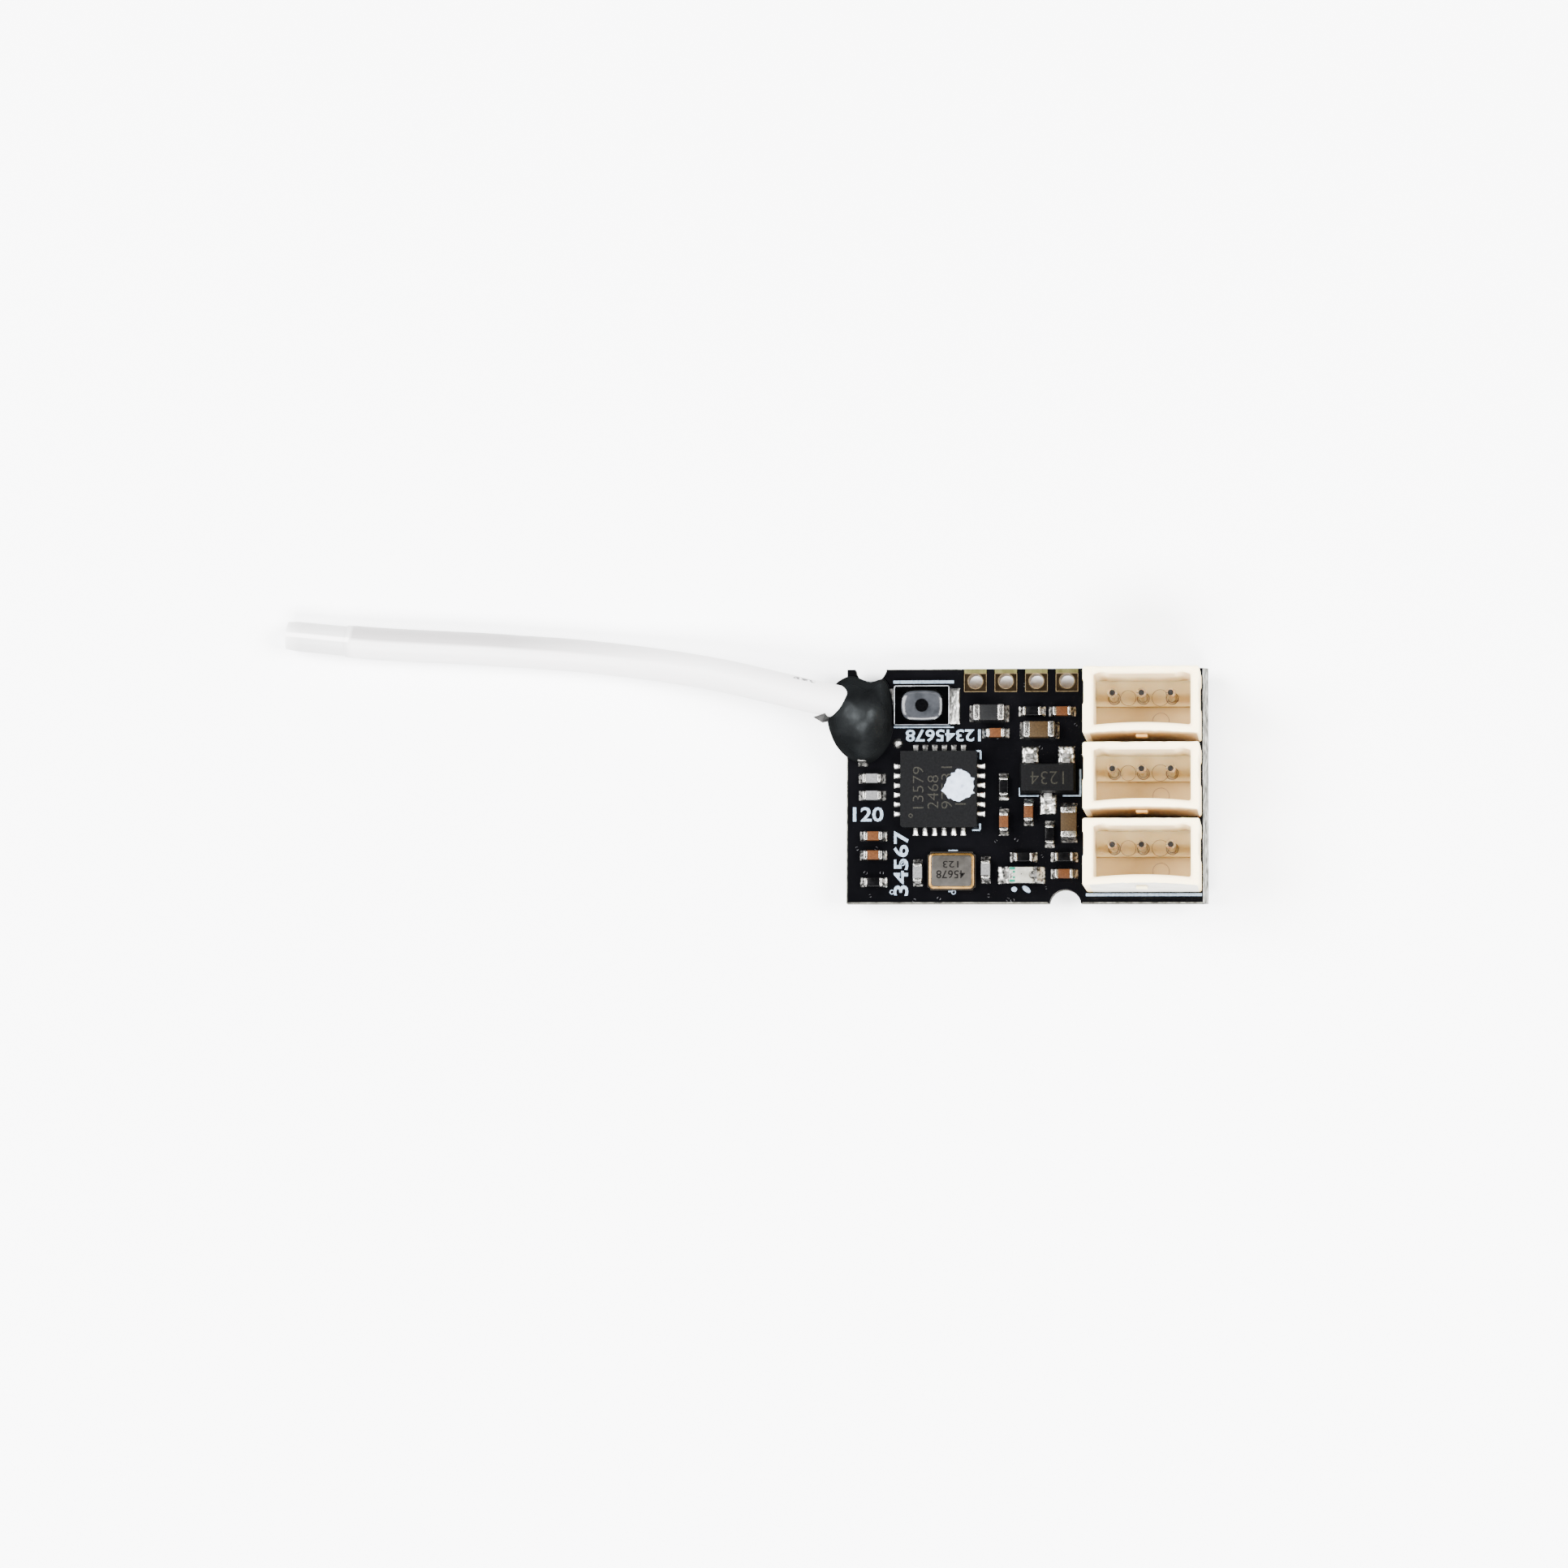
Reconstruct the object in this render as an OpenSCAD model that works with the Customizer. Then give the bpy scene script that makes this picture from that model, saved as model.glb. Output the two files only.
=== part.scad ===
// Miniature radio control receiver: a bare black circuit board with three servo
// headers, a radio chip, a bind button and a sleeved wire antenna held by glue.
// Millimetres. X runs along the board to the headers, Y across it, Z up. The origin
// lies under the middle of the board, in the plane that the receiver rests on.

/* [Board] */
// Width of the board, from its left edge to its scored right edge
board_w = 18.9; // [18.8:0.1:21]
// Depth of the board
board_d = 12.3; // [12.2:0.1:14]
// Thickness of the board
board_t = 1.0; // [0.8:0.1:1.6]
// Radius of the half-round notches that the panel's tabs left
notch_r = 0.83; // [0.6:0.01:0.9]
// How far the notches reach into the board
notch_depth = 0.72; // [0.4:0.01:0.8]
// Notch in the top edge, from the left edge
notch_top_x = 1.25; // [1.2:0.05:1.6]
// Notch in the bottom edge, from the left edge
notch_bottom_x = 11.45; // [10:0.05:12]
// Width of the bevel that scoring left on the right edge
score_w = 0.28; // [0.1:0.01:0.32]
// Depth of that bevel, on both faces
score_depth = 0.35; // [0.1:0.01:0.38]

/* [Edge pads] */
// Number of plated holes along the top edge
pad_count = 4; // [2:1:4]
// Spacing of the plated holes
pad_pitch = 1.6; // [1.4:0.05:2]
// Holes, from the top edge
pad_edge = 0.65; // [0.6:0.01:0.7]
// Width of each pad
pad_w = 1.17; // [1:0.01:1.3]
// Depth of each pad
pad_d = 1.12; // [1:0.01:1.16]
// Diameter of the open holes
pad_hole_d = 0.75; // [0.6:0.01:0.85]
// Thickness of the pads' copper
copper_t = 0.05; // [0.03:0.005:0.06]

/* [Servo headers] */
// Number of headers
header_count = 3; // [1:1:3]
// Pins in each header
pin_count = 3; // [3:1:3]
// Spacing of the pins
pin_pitch = 1.5; // [1.4:0.05:1.55]
// Distance from the last pin to the end of the housing
header_end = 1.5; // [1.4:0.05:1.6]
// Depth of a housing
header_d = 3.5; // [3.3:0.05:3.6]
// Height of a housing above the board
header_h = 5.0; // [4.4:0.1:6]
// Gap between neighbouring housings
header_gap = 0.42; // [0.25:0.01:0.45]
// Gap between the housings and the board's right edge
header_edge = 0.34; // [0.3:0.01:0.6]
// Middle of the row of housings, from the middle of the board
header_row_y = 0.1; // [-0.1:0.05:0.2]
// Wall of a housing at its left end
wall_left = 0.55; // [0.45:0.01:0.7]
// Wall of a housing at its right end
wall_right = 0.45; // [0.35:0.01:0.6]
// Wall of a housing on its top side
wall_top = 0.41; // [0.35:0.01:0.45]
// Wall of a housing on its bottom side
wall_bottom = 0.45; // [0.35:0.01:0.55]
// Floor under the pins
header_floor = 1.0; // [0.7:0.05:1.4]
// Step down of the floor beside the pins
floor_step = 0.4; // [0.1:0.05:0.5]
// Bevel round the mouth of a housing
mouth_bevel = 0.15; // [0.05:0.01:0.2]
// Depth of the recess in both ends of a housing
end_recess = 0.12; // [0.05:0.01:0.2]
// Width of that recess
end_recess_w = 1.3; // [1:0.05:1.6]
// Pins, from the middle of their housing
pin_offset = 0.43; // [0.3:0.01:0.5]
// Diameter of a pin
pin_d = 0.5; // [0.4:0.01:0.56]
// Height of a pin's tip above the board
pin_top = 4.1; // [3.5:0.1:4.4]
// Bevel at both ends of a pin
pin_bevel = 0.1; // [0.05:0.01:0.15]
// Extra radius of a pin where it grips its housing
pin_barb = 0.04; // [0.02:0.01:0.08]
// Diameter of the hole in the board for a pin
pin_hole_d = 0.8; // [0.7:0.01:0.9]

/* [Radio chip] */
// Side of the radio chip
radio_side = 4.0; // [3.8:0.1:4.1]
// Height of the radio chip
radio_h = 0.8; // [0.7:0.05:1]
// Connections on each side of the radio chip
radio_leads = 6; // [4:1:7]
// Spacing of the chips' connections
lead_pitch = 0.5; // [0.45:0.01:0.55]
// Length of solder in front of a connection
lead_out = 0.4; // [0.2:0.01:0.45]
// Width of a connection
lead_w = 0.28; // [0.2:0.01:0.32]

/* [Controller chip] */
// Side of the controller chip under the board
controller_side = 5.0; // [4:0.1:5.2]
// Height of the controller chip, on which the board rests
controller_h = 0.85; // [0.8:0.05:1]
// Connections on each side of the controller chip
controller_leads = 8; // [6:1:8]

/* [Crystal] */
// Length of the crystal
crystal_l = 2.5; // [2.3:0.05:2.6]
// Width of the crystal
crystal_w = 2.0; // [1.8:0.05:2.1]
// Height of its ceramic base
crystal_base_h = 0.36; // [0.3:0.01:0.5]
// Height of its gilt ring
crystal_ring_h = 0.07; // [0.05:0.01:0.1]
// Height of its lid
crystal_lid_h = 0.12; // [0.08:0.01:0.2]
// Step from the base in to the ring
crystal_rim = 0.06; // [0.04:0.01:0.1]
// Step from the ring in to the lid
crystal_shelf = 0.13; // [0.08:0.01:0.2]

/* [Regulator] */
// Length of the regulator's body
regulator_l = 2.92; // [2.8:0.02:3]
// Depth of the regulator's body
regulator_d = 1.58; // [1.4:0.02:1.6]
// Height of the regulator's body
regulator_h = 1.0; // [0.8:0.05:1.2]
// Gap under the regulator's body
regulator_lift = 0.1; // [0.05:0.01:0.15]
// How far its walls lean in over their height
regulator_draft = 0.1; // [0.04:0.01:0.14]
// Spacing of its two leads on one side
regulator_pitch = 1.9; // [1.8:0.05:2]
// Width of a lead
regulator_lead_w = 0.42; // [0.35:0.01:0.5]
// Thickness of a lead
regulator_lead_t = 0.12; // [0.08:0.01:0.16]
// Reach of a lead from the body
regulator_reach = 0.55; // [0.45:0.01:0.6]

/* [Bind button] */
// Length of the button's case
switch_l = 2.94; // [2.8:0.02:3]
// Depth of the button's case
switch_d = 2.1; // [2:0.02:2.2]
// Height of the case's plastic base
switch_base_h = 0.46; // [0.44:0.01:0.54]
// Thickness of the steel cover
cover_t = 0.12; // [0.08:0.01:0.15]
// Length of the eight-sided window in the cover
window_l = 2.26; // [2.1:0.02:2.3]
// Depth of the window in the cover
window_d = 1.67; // [1.5:0.01:1.7]
// Cut across the window's corners
window_corner = 0.4; // [0.3:0.01:0.5]
// Travel of the button
travel = 0.15; // [0.1:0.01:0.16]
// Diameter of the button's stem
stem_d = 0.68; // [0.5:0.01:0.8]
// Height of the stem above the film
stem_h = 0.15; // [0.1:0.01:0.2]
// Thickness of the film that carries the stem
film_t = 0.08; // [0.05:0.01:0.1]
// Gap round the film
film_gap = 0.05; // [0.03:0.01:0.08]
// Diameter of the snap dome
dome_d = 1.4; // [1.1:0.01:1.45]
// Rise of the snap dome
dome_rise = 0.08; // [0.05:0.01:0.1]
// Length of the solder lug at each end of the case
lug_l = 0.5; // [0.3:0.01:0.55]
// Width of a solder lug
lug_w = 1.88; // [1.7:0.01:1.95]
// Height of a solder lug
lug_h = 0.18; // [0.1:0.01:0.3]

/* [Small chip parts] */
// Length of a small part
small_l = 1.0; // [0.9:0.01:1.05]
// Width of a small part
small_w = 0.5; // [0.45:0.01:0.55]
// Height of a small resistor
resistor_h = 0.35; // [0.3:0.01:0.4]
// Height of a small capacitor
capacitor_h = 0.5; // [0.45:0.01:0.55]
// Length of a larger part
large_l = 1.65; // [1.55:0.01:1.7]
// Width of a larger part
large_w = 0.85; // [0.8:0.01:0.9]
// Height of a larger part
large_h = 0.8; // [0.7:0.01:0.9]
// Height of the status light
led_h = 0.55; // [0.4:0.01:0.7]
// Thickness of the plating on a part's ends
plating_t = 0.02; // [0.01:0.005:0.03]
// Thickness of the solder under a part
film_of_solder = 0.05; // [0.03:0.005:0.06]
// Reach of the solder past a part's end
solder_out = 0.22; // [0.15:0.01:0.25]

/* [Antenna] */
// Diameter of the white sleeve
sleeve_d = 1.75; // [1.5:0.05:1.8]
// Height of the glue above the board
glue_h = 2.35; // [2.1:0.05:2.6]
// Gap between the glue and what it holds
glue_gap = 0.02; // [0.01:0.005:0.04]

/* [Hidden] */
function pad_name(i) = str("edge_pad_", i);
function housing_name(h) = str("header_housing_", h);
function pin_name(h, p) = str("header_pin_", h, "_", p);

$fn = 48;
// Overshoot of cuts past the faces that they open
cut = 0.5;
// Gap round pressed and soldered pins, so that round faces don't share a surface
hair = 0.01;
// Brown, grey and black bodies of the small parts
BROWN = "#6f563c";
GREY = "#8b8c86";
BLACK = "#26272a";

under_gap = controller_h + film_of_solder;
board_top = under_gap + board_t;
left_edge = -board_w / 2;
top_edge = board_d / 2;
header_w = (pin_count - 1) * pin_pitch + 2 * header_end;
header_x = board_w / 2 - header_edge - header_w / 2;
header_pitch = header_d + header_gap;
small_r = [small_l, small_w, resistor_h];
small_c = [small_l, small_w, capacitor_h];
large_c = [large_l, large_w, large_h];

// Width of the field of parts, from the board's left edge to the housings
field_w = header_x - header_w / 2 - left_edge;
// A place in that field: share of its width from the left edge, and share of half the
// board's depth from its middle
function spot(u, v) = [left_edge + u * field_w, v * top_edge];

radio_at = spot(0.3877, -0.0358);
controller_at = spot(0.4459, 0);
crystal_at = spot(0.4403, -0.7285);
regulator_at = spot(0.8416, 0.0569);
switch_at = spot(0.3153, 0.6829);
led_at = spot(0.7301, -0.7626);
test_dot_at = spot(0.2189, 0.374);
pad_row_at = spot(0.7277, 1);

// Small parts on the top face: name, size, place by its two shares, turn, colour
TOP_PARTS = [
    ["resistor_1", small_r, 0.7739, 0.6341, 0, BLACK],
    ["resistor_2", small_r, 0.6561, -0.0081, 90, BLACK],
    ["resistor_3", small_r, 0.8479, -0.4163, 90, BLACK],
    ["resistor_4", small_r, 0.7396, -0.6098, 0, BLACK],
    ["resistor_5", small_r, 0.9084, -0.6098, 0, BLACK],
    ["resistor_6", small_r, 0.1146, -0.8211, 0, BLACK],
    ["capacitor_1", small_c, 0.8997, 0.6309, 0, BROWN],
    ["capacitor_2", small_c, 0.6226, 0.4488, 0, BROWN],
    ["capacitor_3", small_c, 0.6576, -0.3106, 90, BROWN],
    ["capacitor_4", small_c, 0.7604, -0.2276, 90, BROWN],
    ["capacitor_5", small_c, 0.9084, -0.7528, 0, BROWN],
    ["capacitor_6", small_c, 0.5820, -0.7171, 90, GREY],
    ["capacitor_7", small_c, 0.2986, -0.7415, 90, GREY],
    ["capacitor_8", small_c, 0.1067, 0.0634, 0, GREY],
    ["capacitor_9", small_c, 0.1075, -0.0829, 0, GREY],
    ["capacitor_10", small_c, 0.1131, -0.4293, 0, BROWN],
    ["capacitor_11", small_c, 0.1131, -0.5919, 0, BROWN],
    ["power_capacitor_1", large_c, 0.8049, 0.4715, 0, BROWN],
    ["power_capacitor_2", large_c, 0.9283, -0.3171, 90, BROWN],
    ["supply_bead", large_c, 0.5955, 0.6163, 0, BLACK],
    ["antenna_coil", small_c, 0.0677, 0.2846, 90, GREY]];

// Small parts on the back face, beside the controller chip
BACK_PARTS = [
    ["back_capacitor_1", small_c, 0.8280, 0.2602, 90, BROWN],
    ["back_capacitor_2", small_c, 0.8280, -0.2602, 90, BROWN]];

// Node names: the single ones, then the repeated ones

// Middle of the antenna's route, from the left edge, from its inner end in the glue to
// its tip on the table
LEAD_ROUTE = [
    [0.95, 4.10, 2.78], [-0.10, 4.31, 2.78], [-0.90, 4.48, 2.76], [-1.70, 4.65, 2.71],
    [-2.90, 4.95, 2.60], [-4.10, 5.25, 2.43], [-6.30, 5.80, 2.00], [-8.50, 6.25, 1.52],
    [-10.70, 6.62, 1.13], [-12.80, 6.90, 0.93], [-15.00, 7.13, 0.88], [-17.20, 7.29, 0.88],
    [-19.40, 7.45, 0.88], [-21.60, 7.57, 0.88], [-24.60, 7.74, 0.88], [-26.80, 7.92, 0.88],
    [-30.00, 8.25, 0.88]];
lead_sides = 8;

// Outline of the glue from above, from the left edge and the board's middle
GLUE_OUTLINE = [
    [2.45, 3.2], [2.4, 4.5], [2.0, 5.6], [1.2, 5.5], [0.2, 5.8], [-0.6, 5.4],
    [-0.95, 4.5], [-1.03, 3.4], [-0.6, 2.2], [0.2, 1.42], [1.2, 1.22], [2.1, 2.0]];
glue_middle = [0.9, 3.6];
glue_hang = 0.5;
// Swell of the glue from its underside to its crown: share of the outline, share of height
GLUE_RISE = [
    [0.95, 0.05], [1.0, 0.14], [0.98, 0.3], [0.9, 0.5], [0.76, 0.68], [0.58, 0.82],
    [0.38, 0.93], [0.18, 0.99]];

function header_y(h) = header_row_y + ((header_count + 1) / 2 - h) * header_pitch;
function pin_x(p) = header_x + (p - (pin_count + 1) / 2) * pin_pitch;
function pad_x(i) = pad_row_at[0] + (i - (pad_count + 1) / 2) * pad_pitch;
// A point on the smooth closed curve through the points p, a share t of the way past i
function on_loop(p, i, t) =
    let (n = len(p), a = p[(i + n - 1) % n], b = p[i], c = p[(i + 1) % n], d = p[(i + 2) % n])
    b + 0.5 * t * (c - a + t * (2 * a - 5 * b + 4 * c - d + t * (3 * (b - c) + d - a)));

function smooth_loop(p, steps) =
    [for (i = [0:len(p) - 1], s = [0:steps - 1]) on_loop(p, i, s / steps)];

function unit(v) = v / norm(v);

// Direction of a route at its point i
function heading(p, i) = unit(p[min(i + 1, len(p) - 1)] - p[max(i - 1, 0)]);

// One ring of points round a route, square to it
function ring_at(p, i, r, sides) =
    let (side = unit(cross(heading(p, i), [0, 0, 1])), up = cross(side, heading(p, i)))
    [for (k = [0:sides - 1]) let (a = 360 * (k + 0.5) / sides)
        p[i] + r * (cos(a) * side + sin(a) * up)];

module board_blank() {
    difference() {
        square([board_w, board_d], center = true);
        translate([left_edge + notch_top_x, top_edge + notch_r - notch_depth])
            circle(r = notch_r);
        translate([left_edge + notch_bottom_x, -top_edge - notch_r + notch_depth])
            circle(r = notch_r);
        for (i = [1:pad_count])
            translate([pad_x(i), top_edge - pad_edge])
                circle(d = pad_hole_d);
        for (h = [1:header_count], p = [1:pin_count])
            translate([pin_x(p), header_y(h) + pin_offset])
                circle(d = pin_hole_d);
    }
}

// The bevel that scoring leaves along one face of the right edge
module score_cut() {
    rotate([90, 0, 0])
        linear_extrude(board_d + 2 * cut, center = true)
            polygon([[-score_w, 0], [cut, 0], [cut, -score_depth], [0, -score_depth]]);
}

module board() {
    color("#15161a")
    difference() {
        translate([0, 0, under_gap])
            linear_extrude(board_t)
                board_blank();
        translate([board_w / 2, 0, board_top])
            score_cut();
        translate([board_w / 2, 0, under_gap])
            mirror([0, 0, 1])
                score_cut();
    }
}

// Pads on both faces of the board round one hole, whose thin plating is left out
module edge_pad(i) {
    color("#caa45a")
    translate([pad_x(i), top_edge - pad_edge, under_gap])
        difference() {
            for (z = [-copper_t, board_t])
                translate([-pad_w / 2, -pad_d / 2, z])
                    cube([pad_w, pad_d, copper_t]);
            translate([0, 0, -cut])
                cylinder(d = pad_hole_d, h = board_t + 2 * cut);
        }
}

// Outline of a header's housing, recessed at both ends beside the pins
module housing_outline() {
    corner = 0.15;
    difference() {
        union() {
            square([header_w - 2 * corner, header_d], center = true);
            square([header_w, header_d - 2 * corner], center = true);
            for (sx = [-1, 1], sy = [-1, 1])
                translate([sx * (header_w / 2 - corner), sy * (header_d / 2 - corner)])
                    circle(r = corner);
        }
        for (s = [-1, 1])
            translate([s * header_w / 2, pin_offset])
                square([2 * end_recess, end_recess_w], center = true);
    }
}

// A wedge along X that takes the edge off one side of the mouth
module mouth_wedge(run) {
    rotate([90, 0, 90])
        linear_extrude(run, center = true)
            polygon([[0, -mouth_bevel], [0, cut], [mouth_bevel + cut, cut]]);
}

module header_housing(h) {
    inner_w = header_w - wall_left - wall_right;
    inner_d = header_d - wall_top - wall_bottom;
    inner_x = (wall_left - wall_right) / 2;
    inner_y = (wall_bottom - wall_top) / 2;
    relief = [0.6, 0.12];
    color("#efe8d2")
    translate([header_x, header_y(h), board_top]) {
        difference() {
            linear_extrude(header_h)
                housing_outline();
            // Socket above the raised floor that carries the pins
            translate([inner_x - inner_w / 2, inner_y - inner_d / 2, header_floor])
                cube([inner_w, inner_d, header_h]);
            // Lower floor on the side away from the pins
            translate([inner_x - inner_w / 2, inner_y - inner_d / 2, header_floor - floor_step])
                cube([inner_w, inner_d / 2, header_h]);
            // Relief in the two corners behind the pins
            for (s = [-1, 1])
                translate([inner_x + s * (inner_w - relief[0]) / 2 - relief[0] / 2,
                           inner_y + inner_d / 2 - cut, header_floor])
                    cube([relief[0], cut + relief[1], header_h]);
            // Bevel round the mouth
            for (s = [0, 1])
                translate([inner_x, inner_y, header_h])
                    rotate([0, 0, 180 * s])
                        translate([0, inner_d / 2, 0])
                            mouth_wedge(inner_w);
            for (s = [0, 1])
                translate([inner_x, inner_y, header_h])
                    rotate([0, 0, 90 + 180 * s])
                        translate([0, inner_w / 2, 0])
                            mouth_wedge(inner_d);
            for (p = [1:pin_count])
                translate([pin_x(p) - header_x, pin_offset, -cut])
                    cylinder(r = pin_d / 2 + pin_barb + hair, h = header_floor + 2 * cut);
        }
        // Gate mark low on the outer wall
        translate([-0.3, -header_d / 2 - 0.08, 0])
            cube([0.6, 0.1, 0.9]);
    }
}

// A round pin that swells to a barb in its housing's floor, with a bevel at both ends
module header_pin(h, p) {
    r = pin_d / 2;
    top = board_top + pin_top;
    color("#c9c6bd")
    translate([pin_x(p), header_y(h) + pin_offset, 0])
        rotate_extrude()
            polygon([[0, 0], [r - pin_bevel, 0], [r, pin_bevel], [r, board_top],
                     [r + pin_barb, board_top + 0.7 * header_floor],
                     [r, board_top + header_floor], [r, top - pin_bevel],
                     [r - pin_bevel, top], [0, top]]);
}

// Cones of solder round the pin tails, which also fill most of their holes
module header_solder() {
    r = pin_d / 2 + hair;
    fill_r = pin_hole_d / 2 - hair;
    fill = 0.8 * board_t;
    cone_h = 0.6;
    color("#b9bcc0")
    for (h = [1:header_count], p = [1:pin_count])
        translate([pin_x(p), header_y(h) + pin_offset, under_gap])
            rotate_extrude()
                polygon([[r, fill], [r, -cone_h], [r + 0.07, -cone_h], [fill_r + 0.03, -0.16],
                         [fill_r + 0.22, 0], [fill_r, 0], [fill_r - 0.04, fill]]);
}

// Solder at both ends of a part of length run and width wide, up to the height rise
module solder_ends(run, wide, rise) {
    under = 0.2;
    for (s = [0, 1])
        rotate([0, 0, 180 * s])
            translate([run / 2, 0, 0])
                rotate([90, 0, 0])
                    linear_extrude(wide, center = true)
                        polygon([[-under, 0], [solder_out, 0], [0.35 * solder_out, 0.3 * rise],
                                 [0, rise], [0, film_of_solder], [-under, film_of_solder]]);
}

// A ceramic chip with plated ends, standing on its film of solder
module chip_part(size) {
    end_l = 0.24 * size[0];
    body = [size[0] - 2 * plating_t, size[1] - 2 * plating_t, size[2] - 2 * plating_t];
    translate([0, 0, film_of_solder + size[2] / 2]) {
        cube(body, center = true);
        for (s = [-1, 1])
            translate([s * (size[0] - end_l) / 2, 0, 0])
                cube([end_l, size[1], size[2]], center = true);
    }
}

module on_top(part) {
    translate([each spot(part[2], part[3]), board_top])
        rotate([0, 0, part[4]])
            children();
}

module on_back(part) {
    translate([each spot(part[2], part[3]), under_gap])
        rotate([0, 0, part[4]])
            mirror([0, 0, 1])
                children();
}

module chip_solder() {
    color("#b9bcc0") {
        for (part = TOP_PARTS)
            on_top(part)
                solder_ends(part[1][0], part[1][1], 0.7 * part[1][2]);
        for (part = BACK_PARTS)
            on_back(part)
                solder_ends(part[1][0], part[1][1], 0.7 * part[1][2]);
        translate([led_at[0], led_at[1], board_top])
            solder_ends(large_l, large_w - 0.1, 0.5 * led_h);
        // Dot of solder on a test point beside the glue
        translate([each test_dot_at, board_top])
            cylinder(d1 = small_w, d2 = 0.6 * small_w, h = 0.16);
    }
}

// Solder in front of the connections on all four sides of a flat chip, and its heat pad
module chip_joints(side, count) {
    under = 0.25;
    rise = 0.3;
    for (q = [0:3])
        rotate([0, 0, 90 * q])
            for (i = [1:count])
                translate([side / 2, (i - (count + 1) / 2) * lead_pitch, 0])
                    rotate([90, 0, 0])
                        linear_extrude(lead_w, center = true)
                            polygon([[-under, 0], [lead_out, 0], [0.3 * lead_out, 0.35 * rise],
                                     [0, rise], [0, film_of_solder], [-under, film_of_solder]]);
    translate([-0.32 * side, -0.32 * side, 0])
        cube([0.64 * side, 0.64 * side, film_of_solder]);
}

module radio_chip() {
    color("#34353a")
    translate([radio_at[0], radio_at[1], board_top + film_of_solder])
        linear_extrude(radio_h)
            difference() {
                square(radio_side, center = true);
                // Cut corner beside the first connection
                translate([-radio_side / 2, -radio_side / 2])
                    rotate(45)
                        square(0.16, center = true);
            }
}

module radio_chip_joints() {
    color("#c3c6ca")
    translate([radio_at[0], radio_at[1], board_top])
        chip_joints(radio_side, radio_leads);
}

// Dab of white inspection paint on the radio chip
module paint_dab() {
    color("white")
    translate([radio_at[0] + 0.27 * radio_side, radio_at[1] + 0.045 * radio_side,
               board_top + film_of_solder + radio_h])
        linear_extrude(0.04)
            polygon(smooth_loop([[0.78, -0.1], [0.55, 0.62], [-0.05, 0.84], [-0.6, 0.66],
                                 [-0.84, 0.05], [-0.58, -0.7], [0.0, -0.82], [0.5, -0.66]], 4));
}

module controller_chip() {
    color("#303136")
    translate([each controller_at, 0])
        linear_extrude(controller_h)
            square(controller_side, center = true);
}

module controller_chip_joints() {
    color("#c3c6ca")
    translate([each controller_at, under_gap])
        mirror([0, 0, 1])
            chip_joints(controller_side, controller_leads);
}

module crystal_base() {
    color("#6d675c")
    translate([crystal_at[0], crystal_at[1], board_top + crystal_base_h / 2])
        difference() {
            cube([crystal_l, crystal_w, crystal_base_h], center = true);
            // Quarter-round castellations at the corners
            for (sx = [-1, 1], sy = [-1, 1])
                translate([sx * crystal_l / 2, sy * crystal_w / 2, 0])
                    cylinder(r = 0.15, h = crystal_base_h + cut, center = true);
        }
}

module crystal_ring() {
    ring = [crystal_l - 2 * crystal_rim, crystal_w - 2 * crystal_rim];
    color("#d8b25c")
    translate([crystal_at[0], crystal_at[1], board_top + crystal_base_h])
        linear_extrude(crystal_ring_h)
            difference() {
                square(ring, center = true);
                square(ring - [0.7, 0.7], center = true);
            }
}

module crystal_lid() {
    step = crystal_rim + crystal_shelf;
    color("#8d8574")
    translate([crystal_at[0], crystal_at[1], board_top + crystal_base_h + crystal_ring_h])
        linear_extrude(crystal_lid_h)
            square([crystal_l - 2 * step, crystal_w - 2 * step], center = true);
}

// Side view of a moulded block whose upper and lower halves lean in from the middle
module drafted_side(l) {
    polygon([[-l / 2 + regulator_draft, 0], [l / 2 - regulator_draft, 0],
             [l / 2, regulator_h / 2], [l / 2 - regulator_draft, regulator_h],
             [-l / 2 + regulator_draft, regulator_h], [-l / 2, regulator_h / 2]]);
}

module regulator_body() {
    color("#2b2c2f")
    translate([regulator_at[0], regulator_at[1], board_top + regulator_lift])
        intersection() {
            rotate([90, 0, 0])
                linear_extrude(regulator_d, center = true)
                    drafted_side(regulator_l);
            rotate([90, 0, 90])
                linear_extrude(regulator_l, center = true)
                    drafted_side(regulator_d);
        }
}

// One gull-wing lead that leaves the body at y = 0 and stands on the board
module gull_lead() {
    t = regulator_lead_t;
    high = regulator_lift + regulator_h / 2;
    knee = 0.35 * regulator_reach;
    rotate([90, 0, 90])
        linear_extrude(regulator_lead_w, center = true)
            polygon([[0, high - t / 2], [knee - t, high - t / 2], [knee, t], [knee + t / 2, 0],
                     [regulator_reach, 0], [regulator_reach, t], [knee + t, t],
                     [knee, high + t / 2], [0, high + t / 2]]);
}

module regulator_leads() {
    color("#b9bcc0")
    translate([regulator_at[0], regulator_at[1], board_top]) {
        for (s = [-1, 1])
            translate([s * regulator_pitch / 2, regulator_d / 2, 0])
                gull_lead();
        rotate([0, 0, 180])
            translate([0, regulator_d / 2, 0])
                gull_lead();
    }
}

// Eight-sided window of the button, made smaller all round by gap
module window_shape(gap) {
    l = window_l / 2 - gap;
    d = window_d / 2 - gap;
    c = window_corner - 0.4 * gap;
    polygon([[l, d - c], [l - c, d], [c - l, d], [-l, d - c],
             [-l, c - d], [c - l, -d], [l - c, -d], [l, c - d]]);
}

module at_switch(z) {
    translate([switch_at[0], switch_at[1], board_top + z])
        children();
}

// Plastic case of the button, open at the top for the dome and the moving film
module switch_base() {
    color("#1d1e20")
    at_switch(0)
        difference() {
            translate([-switch_l / 2, -switch_d / 2, 0])
                cube([switch_l, switch_d, switch_base_h]);
            translate([0, 0, switch_base_h - travel - film_t - dome_rise - 0.05])
                linear_extrude(switch_base_h)
                    window_shape(0);
        }
}

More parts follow.
